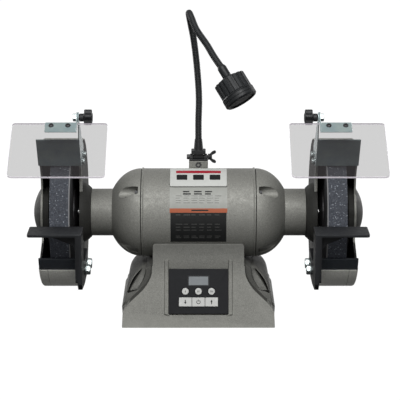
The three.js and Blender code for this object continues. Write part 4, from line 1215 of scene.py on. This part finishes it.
# ---------- eye shields ----------
def shield_holder():
    front = PANE_FRONT - GAP
    low = PANE_TOP - 18.5
    ear = arc(0, 0, 7.5, -20, 185, 24) + [(front - SHEET - 2.5, PANE_TOP), (front - SHEET, low), (front, low),
                                         (front, PANE_TOP + 1)]
    holder = prism(ear, EAR_START, EAR_START + SHEET)
    end = STRIP_END
    strip = rounded([(EAR_START, low), (end, low, 2), (end, PANE_TOP - 0.5, 2), (EAR_START, PANE_TOP - 0.5)])
    strip = prism(strip, front - SHEET, front, "Y")
    join(holder, strip)
    return cut(holder, rod(3 + GAP, EAR_START - 1, EAR_START + 3))


def shield_nut():
    nut = overlap(
        rod(5.6, EAR_START + SHEET, EAR_START + SHEET + 5, "X", (0, 0), 6),
        lathe([(EAR_START + SHEET, 0), (EAR_START + SHEET, 5.8), (EAR_START + SHEET + 4, 5.8),
               (EAR_START + SHEET + 5, 4.8), (EAR_START + SHEET + 5, 0)], "X", 48),
    )
    return cut(nut, rod(3 + GAP, EAR_START - 1, EAR_START + 9))


def clamp_screw(x):
    """A dark button head on the holder's strip."""
    face = PANE_FRONT - GAP - SHEET
    z = PANE_TOP - 6.5
    head = lathe([(face + 0.2, 0), (face + 0.2, 3.8), (face - 0.9, 3.5), (face - 1.7, 2.6), (face - 2, 1.7), (face - 2, 0)],
                 "Y", 48, (x, z))
    return cut(head, rod(1.4, face - 3, face - 0.8, "Y", (x, z), 6))


def shield_pane():
    low = PANE_TOP - SHIELD_LENGTH
    outline = rounded([(SHIELD_INNER, low, 7), (SHIELD_OUTER, low, 7), (SHIELD_OUTER, PANE_TOP, 5),
                       (SHIELD_INNER, PANE_TOP, 5)])
    return prism(outline, PANE_FRONT, PANE_FRONT + SHIELD_THICK, "Y")


def star(radius, lobe, count=90, lobes=5):
    points = []
    for i in range(count):
        a = 2 * math.pi * i / count
        r = radius + lobe * math.cos(lobes * a)
        points.append((r * math.cos(a), r * math.sin(a)))
    return points


def shield_knob():
    knob = prism(star(9.8, 1.4), 146, 156.8)
    join(knob, rod(5.5, 156.6, ARRESTOR_SIDE - GAP), rod(3, 160, 170))
    dish = [(145, 0), (145, 6), (146.6, 5.2), (146.9, 0)]
    return cut(knob, lathe(dish, "X", 48))


paint_side_sheen(pair("shield_holder_bracket", shield_holder(), SHIELD, zinc, "shield_*", ["shield_holder_*"],
                  slot="zinc", bevel=0.3))
pair("shield_nut", shield_nut(), SHIELD, bright_zinc, "shield_*", slot="zinc", bevel=0.2)
pair("shield_clamp_screws", merged([clamp_screw(x) for x in CLAMP_SCREWS]), SHIELD, dark_screw, "shield_*", bevel=0)
panes = pair("eye_shield_pane", shield_pane(), SHIELD, pane_sheet, "shield_*", ["shield_pane_*"], slot="clear", bevel=0.3)
# Painted light: the pane's edge faces get the glowing finish.
for pane in panes:
    pane.data.materials.append(pane_edge_glow)
    through = (SHIELD.to_3x3() @ Vector((0, 1, 0))).normalized()
    for face in pane.data.polygons:
        if abs(face.normal.dot(through)) < 0.8:
            face.material_index = 1
pair("shield_knob_grip", shield_knob(), SHIELD, black_plastic, "knob_*", ["shield_knob_*"], slot="black_plastic",
     bevel=1.4, limit=40)


# ---------- lamp foot ----------
def lamp_bracket():
    block = prism(rectangle(-13.7, 13.7, 3, 21, 1.5), 50, 75, "Z")
    cut(block, rod(MOTOR_RADIUS + GAP, -20, 20, "X", (0, 0), 128))
    return cut(block, rod(4.6, 0, 4.6, "Y", (0, 69), 6))


def bracket_screw():
    """The dark cap screw sunk in the bracket's front."""
    screw = rod(4, 4.3, 6, "Y", (0, 69), 32)
    return cut(screw, rod(2, 3, 5.4, "Y", (0, 69), 6))


def lamp_clevis():
    y, z = LAMP_Y, LAMP_Z
    inner = 7.8
    side = [(y - 8.5, 75.3), (y + 8.5, 75.3), (y + 8.5, 77.5), *arc(y, z, 4.5, 0, 180, 16), (y - 8.5, 77.5)]
    block = prism(side, -14, 14)
    overlap(block, prism(mirrored([(13.3, 70), (13.3, 76), (11.4, 90)]), y - 10, y + 10, "Y"))
    cut(block, box(-inner, inner, y - 10, y + 10, 77.5, z + 10), box(-inner, inner, y - 4.5, y + 4.5, 70, 78))
    head = overlap(rod(3.9, -16.9, -12.2, "X", (y, z), 6),
                   lathe([(-16.9, 0), (-16.9, 3.2), (-16.2, 4), (-12.2, 4), (-12.2, 0)], "X", 32, (y, z)))
    return join(block, rod(2.5, -14, 19.6, "X", (y, z), 32), head)


def lamp_hub():
    y, z = LAMP_Y, LAMP_Z
    wide = 7.5
    hub = rod(4.2, -wide, wide, "X", (y, z), 48)
    join(hub, box(-wide, wide, y - 4.2, y + 4.2, z, z + 6))
    join(hub, prism(rectangle(-10.4, 10.4, y - 7.5, y + 7.5, 2), z + 5, 90, "Z"))
    cone = [(89, 0), (89, 7.4), (90, 6.9), (SLEEVE_TOP - 1, 5.5), (SLEEVE_TOP, 5), (SLEEVE_TOP, 0)]
    join(hub, lathe(cone, "Z", 64, (0, y)))
    return cut(hub, rod(2.8, -12, 12, "X", (y, z), 32))


def wing_nut():
    y, z = LAMP_Y, LAMP_Z
    nut = lathe([(13.7, 2.8), (13.7, 4.6), (18, 3.9), (18.6, 3.4), (18.6, 2.8)], "X", 64)
    wing = [Vector(p) for p in ((14.4, 2.2), (16.6, 4.6), (20.5, 8.2), (23.6, 9.2), (25.4, 7.8), (24.4, 5.4),
                                (21, 3.6), (18.2, 2.2))]
    outline = [tuple(catmull(wing, i / 40)) for i in range(41)]
    for way in (0, math.pi):
        join(nut, placed(prism(outline, -1.6, 1.6, "Y"), turn(way)))
    cut(nut, rod(2.8, 10, 30, "X", (0, 0), 32))
    return placed(nut, move(0, y, z))


piece("lamp_bracket_block", lamp_bracket(), SPINDLE, motor_paint, stands_for=["lamp_bracket"],
      slot="casting_paint", bevel=0.6)
piece("lamp_bracket_screw", bracket_screw(), SPINDLE, dark_screw, bevel=0.2)
piece("lamp_clevis_fork", lamp_clevis(), SPINDLE, black_plastic, stands_for=["lamp_clevis"],
      slot="black_plastic", bevel=0.35)
piece("lamp_hub_block", lamp_hub(), SPINDLE, black_plastic, "lamp_arm", ["lamp_hub"], slot="black_plastic",
      bevel=0.4)
piece("wing_nut_body", wing_nut(), SPINDLE, black_plastic, "lamp_wing_nut", ["wing_nut"],
      slot="black_plastic", bevel=0.3, limit=45, clamp=True)

# ---------- gooseneck ----------
ROUTE = [Vector(p) for p in NECK_ROUTE]
COIL_PITCH = 2.3
COIL_DEPTH = 0.7
SIDES = 20


def sweep(centres, radii, sides):
    """A closed tube along the centres, kept from twisting."""
    vertices = []
    faces = []
    forward = (centres[1] - centres[0]).normalized()
    normal = forward.orthogonal().normalized()
    for i, centre in enumerate(centres):
        ahead = centres[min(i + 1, len(centres) - 1)]
        behind = centres[max(i - 1, 0)]
        heading = (ahead - behind).normalized()
        normal = (normal - heading * normal.dot(heading)).normalized()
        other = heading.cross(normal)
        for k in range(sides):
            a = 2 * math.pi * k / sides
            vertices.append(centre + (normal * math.cos(a) + other * math.sin(a)) * radii[i])
    for i in range(len(centres) - 1):
        for k in range(sides):
            j = (k + 1) % sides
            faces.append((i * sides + k, i * sides + j, (i + 1) * sides + j, (i + 1) * sides + k))
    faces.append(tuple(range(sides)))
    last = (len(centres) - 1) * sides
    faces.append(tuple(range(last, last + sides)))
    return stock(vertices, faces)


def gooseneck():
    fine = [catmull(ROUTE, i / 4000) for i in range(4001)]
    travelled = [0.0]
    for a, b in zip(fine, fine[1:]):
        travelled.append(travelled[-1] + (b - a).length)
    step = COIL_PITCH / 6
    count = int(travelled[-1] / step)
    centres = []
    radii = []
    k = 0
    for i in range(count + 1):
        want = travelled[-1] * i / count
        while k < len(fine) - 2 and travelled[k + 1] < want:
            k += 1
        share = (want - travelled[k]) / (travelled[k + 1] - travelled[k])
        centres.append(fine[k].lerp(fine[k + 1], min(1, share)))
        wave = abs(math.sin(math.pi * want / COIL_PITCH))
        radii.append(NECK_TUBE_RADIUS - COIL_DEPTH * (1 - wave) ** 1.5)
    return sweep(centres, radii, SIDES)


def show_gooseneck():
    tube = gooseneck()
    for face in tube.data.polygons:
        face.use_smooth = True
    tube.data.transform(SPINDLE)
    tube.name = "gooseneck_coil"
    tube.data.name = "gooseneck_coil"
    tube.data.materials.append(lamp_paint)
    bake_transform(tube)
    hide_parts("gooseneck_lower", "gooseneck_upper")


show_gooseneck()


# ---------- lamp head ----------
def lamp_sleeve():
    end = HEAD_START - GAP
    sleeve = lathe([(-3.5, 0), (-3.5, 5), (-2.5, 5.6), (0, 6.4), (end - 2.5, 6.4), (end, 5), (end, 0)], "Z", 64)
    for k in range(4):
        slot = box(4.9, 8, -0.8, 0.8, 2.5, end - 4)
        cut(sleeve, placed(slot, turn(math.pi / 4 + k * math.pi / 2, "Z")))
    return sleeve


def head_body():
    """The finned heat sink behind the lamp's ring."""
    start, end, radius = HEAD_START, HEAD_BODY_END, HEAD_BODY_RADIUS
    root = radius - 1.9
    core = lathe([(start, 0), (start, 12.8), (start + 1.2, 14), (start + 3.2, root - 0.6), (start + 4.6, root),
                  (end, root), (end, 0)], "Z", 96)
    fins = 18
    for k in range(fins):
        fin = box(root - 2, radius, -2.1, 2.1, start + 3, end - 0.8)
        join(core, placed(fin, turn(2 * math.pi * k / fins, "Z")))
    return core


def head_ring():
    start, end, radius = HEAD_BODY_END, HEAD_RING_END, HEAD_RING_RADIUS
    ring = lathe([(start - 1, 0), (start - 1, radius - 1.6), (start + 1, radius), (end - 2, radius), (end, radius - 2),
                  (end, 0)], "Z", 128)
    cut(ring, lathe([(end - 8, 0), (end - 8, 12), (end - 4.5, 19.3), (end + 1, 19.3), (end + 1, 0)], "Z", 96))
    for low in (start + 1.8, start + 6.4):
        groove = [(low, radius - 0.8), (low, radius + 1), (low + 1, radius + 1), (low + 1, radius - 0.8)]
        cut(ring, lathe(groove, "Z", 128))
    return ring


def lens_rim_highlight():
    """A bright arc on the lens's rim: a painted highlight, open towards the back."""
    end = HEAD_RING_END
    wire = arc(0, 0, 18.6, 200, 340, 40) + arc(0, 0, 17.5, 340, 200, 40)
    return prism(wire, end - 1.9, end - 0.8, "Z")


def lens():
    end = HEAD_RING_END
    dome = [(end - 2 + 0.8 * math.cos(a), 19 * math.sin(a)) for a in (1.5708, 1.2, 0.8, 0.4, 0.0)]
    return lathe([(end - 4, 0), (end - 4, 19), *dome], "Z", 96)


piece("lamp_sleeve", lamp_sleeve(), HEAD, lamp_paint, "lamp_end", slot="black_plastic", bevel=0.2)
piece("lamp_head_body", head_body(), HEAD, lamp_paint, "lamp_end", ["lamp_head"], slot="black_plastic", bevel=0.35)
piece("lamp_head_ring", head_ring(), HEAD, lamp_paint, "lamp_end", slot="black_plastic", bevel=0.3)
piece("lamp_lens_rim_highlight", lens_rim_highlight(), HEAD, lens_highlight_metal, "lamp_end", bevel=0.2)
piece("lamp_lens_disc", lens(), HEAD, lens_glass, "lamp_end", ["lamp_lens"], slot="lens_glass", bevel=0.2)


# ---------- CAD pieces that stay ----------
KEPT = {
    "base_bottom_plate": steel,
    "drive_board": board_green,
    "display_window": display_glass,
    "stator_core": steel,
    "stator_windings": copper,
    "bearing_right": steel,
    "bearing_left": steel,
    "shaft": steel,
    "rotor": steel,
    "inner_flange_right": dark_screw,
    "inner_flange_left": dark_screw,
    "outer_flange_right": dark_screw,
    "outer_flange_left": dark_screw,
    "spindle_nut_right": dark_screw,
    "spindle_nut_left": dark_screw,
    "tie_bolt_1": dark_screw,
    "tie_bolt_2": dark_screw,
    "tie_bolt_3": dark_screw,
    "tie_bolt_4": dark_screw,
}
for name, finish in KEPT.items():
    kept = nodes[name]
    kept.data.materials.clear()
    kept.data.materials.append(finish)
    edges = kept.modifiers.new("edges", "BEVEL")
    edges.width = 0.0002
    edges.segments = 2
    edges.limit_method = "ANGLE"
    edges.angle_limit = math.radians(50)


# ---------- stage, camera and light ----------
def floor():
    mesh = bpy.data.meshes.new("floor")
    reach = 14
    mesh.from_pydata([(-reach, -reach, 0), (reach, -reach, 0), (reach, reach, 0), (-reach, reach, 0)], [], [(0, 1, 2, 3)])
    plane = bpy.data.objects.new("floor", mesh)
    bpy.context.scene.collection.objects.link(plane)
    finish = Finish("floor_paper", Roughness=0.9, Specular_IOR_Level=0.1, Emission_Strength=1.0)
    finish.shader.inputs["Emission Color"].default_value = (1, 1, 1, 1)
    finish.colour(finish.mix(finish.noise(3, 2), (0.03, 0.03, 0.03), (0.04, 0.04, 0.04)))
    mesh.materials.append(finish.material)
    plane.visible_diffuse = False
    plane.visible_glossy = False


def camera():
    """At the photograph's viewing angle: 15 degrees above the horizon, square on to the front."""
    tilt = math.radians(15)
    aim = Vector((0.0022, 0.0045, 0.1618))
    distance = 2.321
    data = bpy.data.cameras.new("camera")
    data.lens = 144.1
    data.sensor_width = 36
    made = bpy.data.objects.new("camera", data)
    bpy.context.scene.collection.objects.link(made)
    made.location = aim + Vector((0, -math.cos(tilt), math.sin(tilt))) * distance
    made.rotation_euler = (math.pi / 2 - tilt, 0, 0)
    bpy.context.scene.camera = made


def lamp(name, place, aim, size, power):
    data = bpy.data.lights.new(name, "AREA")
    data.shape = "RECTANGLE"
    data.size, data.size_y = size
    data.energy = power
    made = bpy.data.objects.new(name, data)
    bpy.context.scene.collection.objects.link(made)
    made.location = place
    made.rotation_euler = (Vector(aim) - Vector(place)).to_track_quat("-Z", "Y").to_euler()


def surroundings():
    """A dim studio, lighter overhead, with a white wall behind the grinder."""
    world = bpy.data.worlds.new("studio")
    bpy.context.scene.world = world
    world.use_nodes = True
    tree = world.node_tree
    place = tree.nodes.new("ShaderNodeTexCoord").outputs["Generated"]
    split = tree.nodes.new("ShaderNodeSeparateXYZ")
    tree.links.new(place, split.inputs["Vector"])
    shares = []
    for output, start, end, low, high in (("Z", -0.2, 1.0, 0.04, 0.26), ("Y", 0.6, 0.95, 0, 0.8)):
        share = tree.nodes.new("ShaderNodeMapRange")
        for name, value in (("From Min", start), ("From Max", end), ("To Min", low), ("To Max", high)):
            share.inputs[name].default_value = value
        tree.links.new(split.outputs[output], share.inputs["Value"])
        shares.append(share.outputs["Result"])
    both = tree.nodes.new("ShaderNodeMath")
    both.operation = "ADD"
    for share, socket in zip(shares, both.inputs):
        tree.links.new(share, socket)
    tree.links.new(both.outputs["Value"], tree.nodes["Background"].inputs["Strength"])
    tree.nodes["Background"].inputs["Color"].default_value = (1, 1, 1, 1)


floor()
camera()
surroundings()
bpy.context.scene.view_settings.view_transform = "Standard"
lamp("key", (0.0, -1.8, 2.25), (0, 0, 0.12), (1.4, 1.2), 86)
lamp("low_front", (0.0, -2.6, 0.16), (0, 0, 0.15), (1.4, 0.24), 9)
lamp("side_right", (1.75, 1.25, 0.5), (0, 0, 0.2), (1.1, 0.9), 24)
lamp("side_left", (-1.75, 1.25, 0.5), (0, 0, 0.2), (1.1, 0.9), 24)

# ---------- last update --------
bpy.context.view_layer.update()
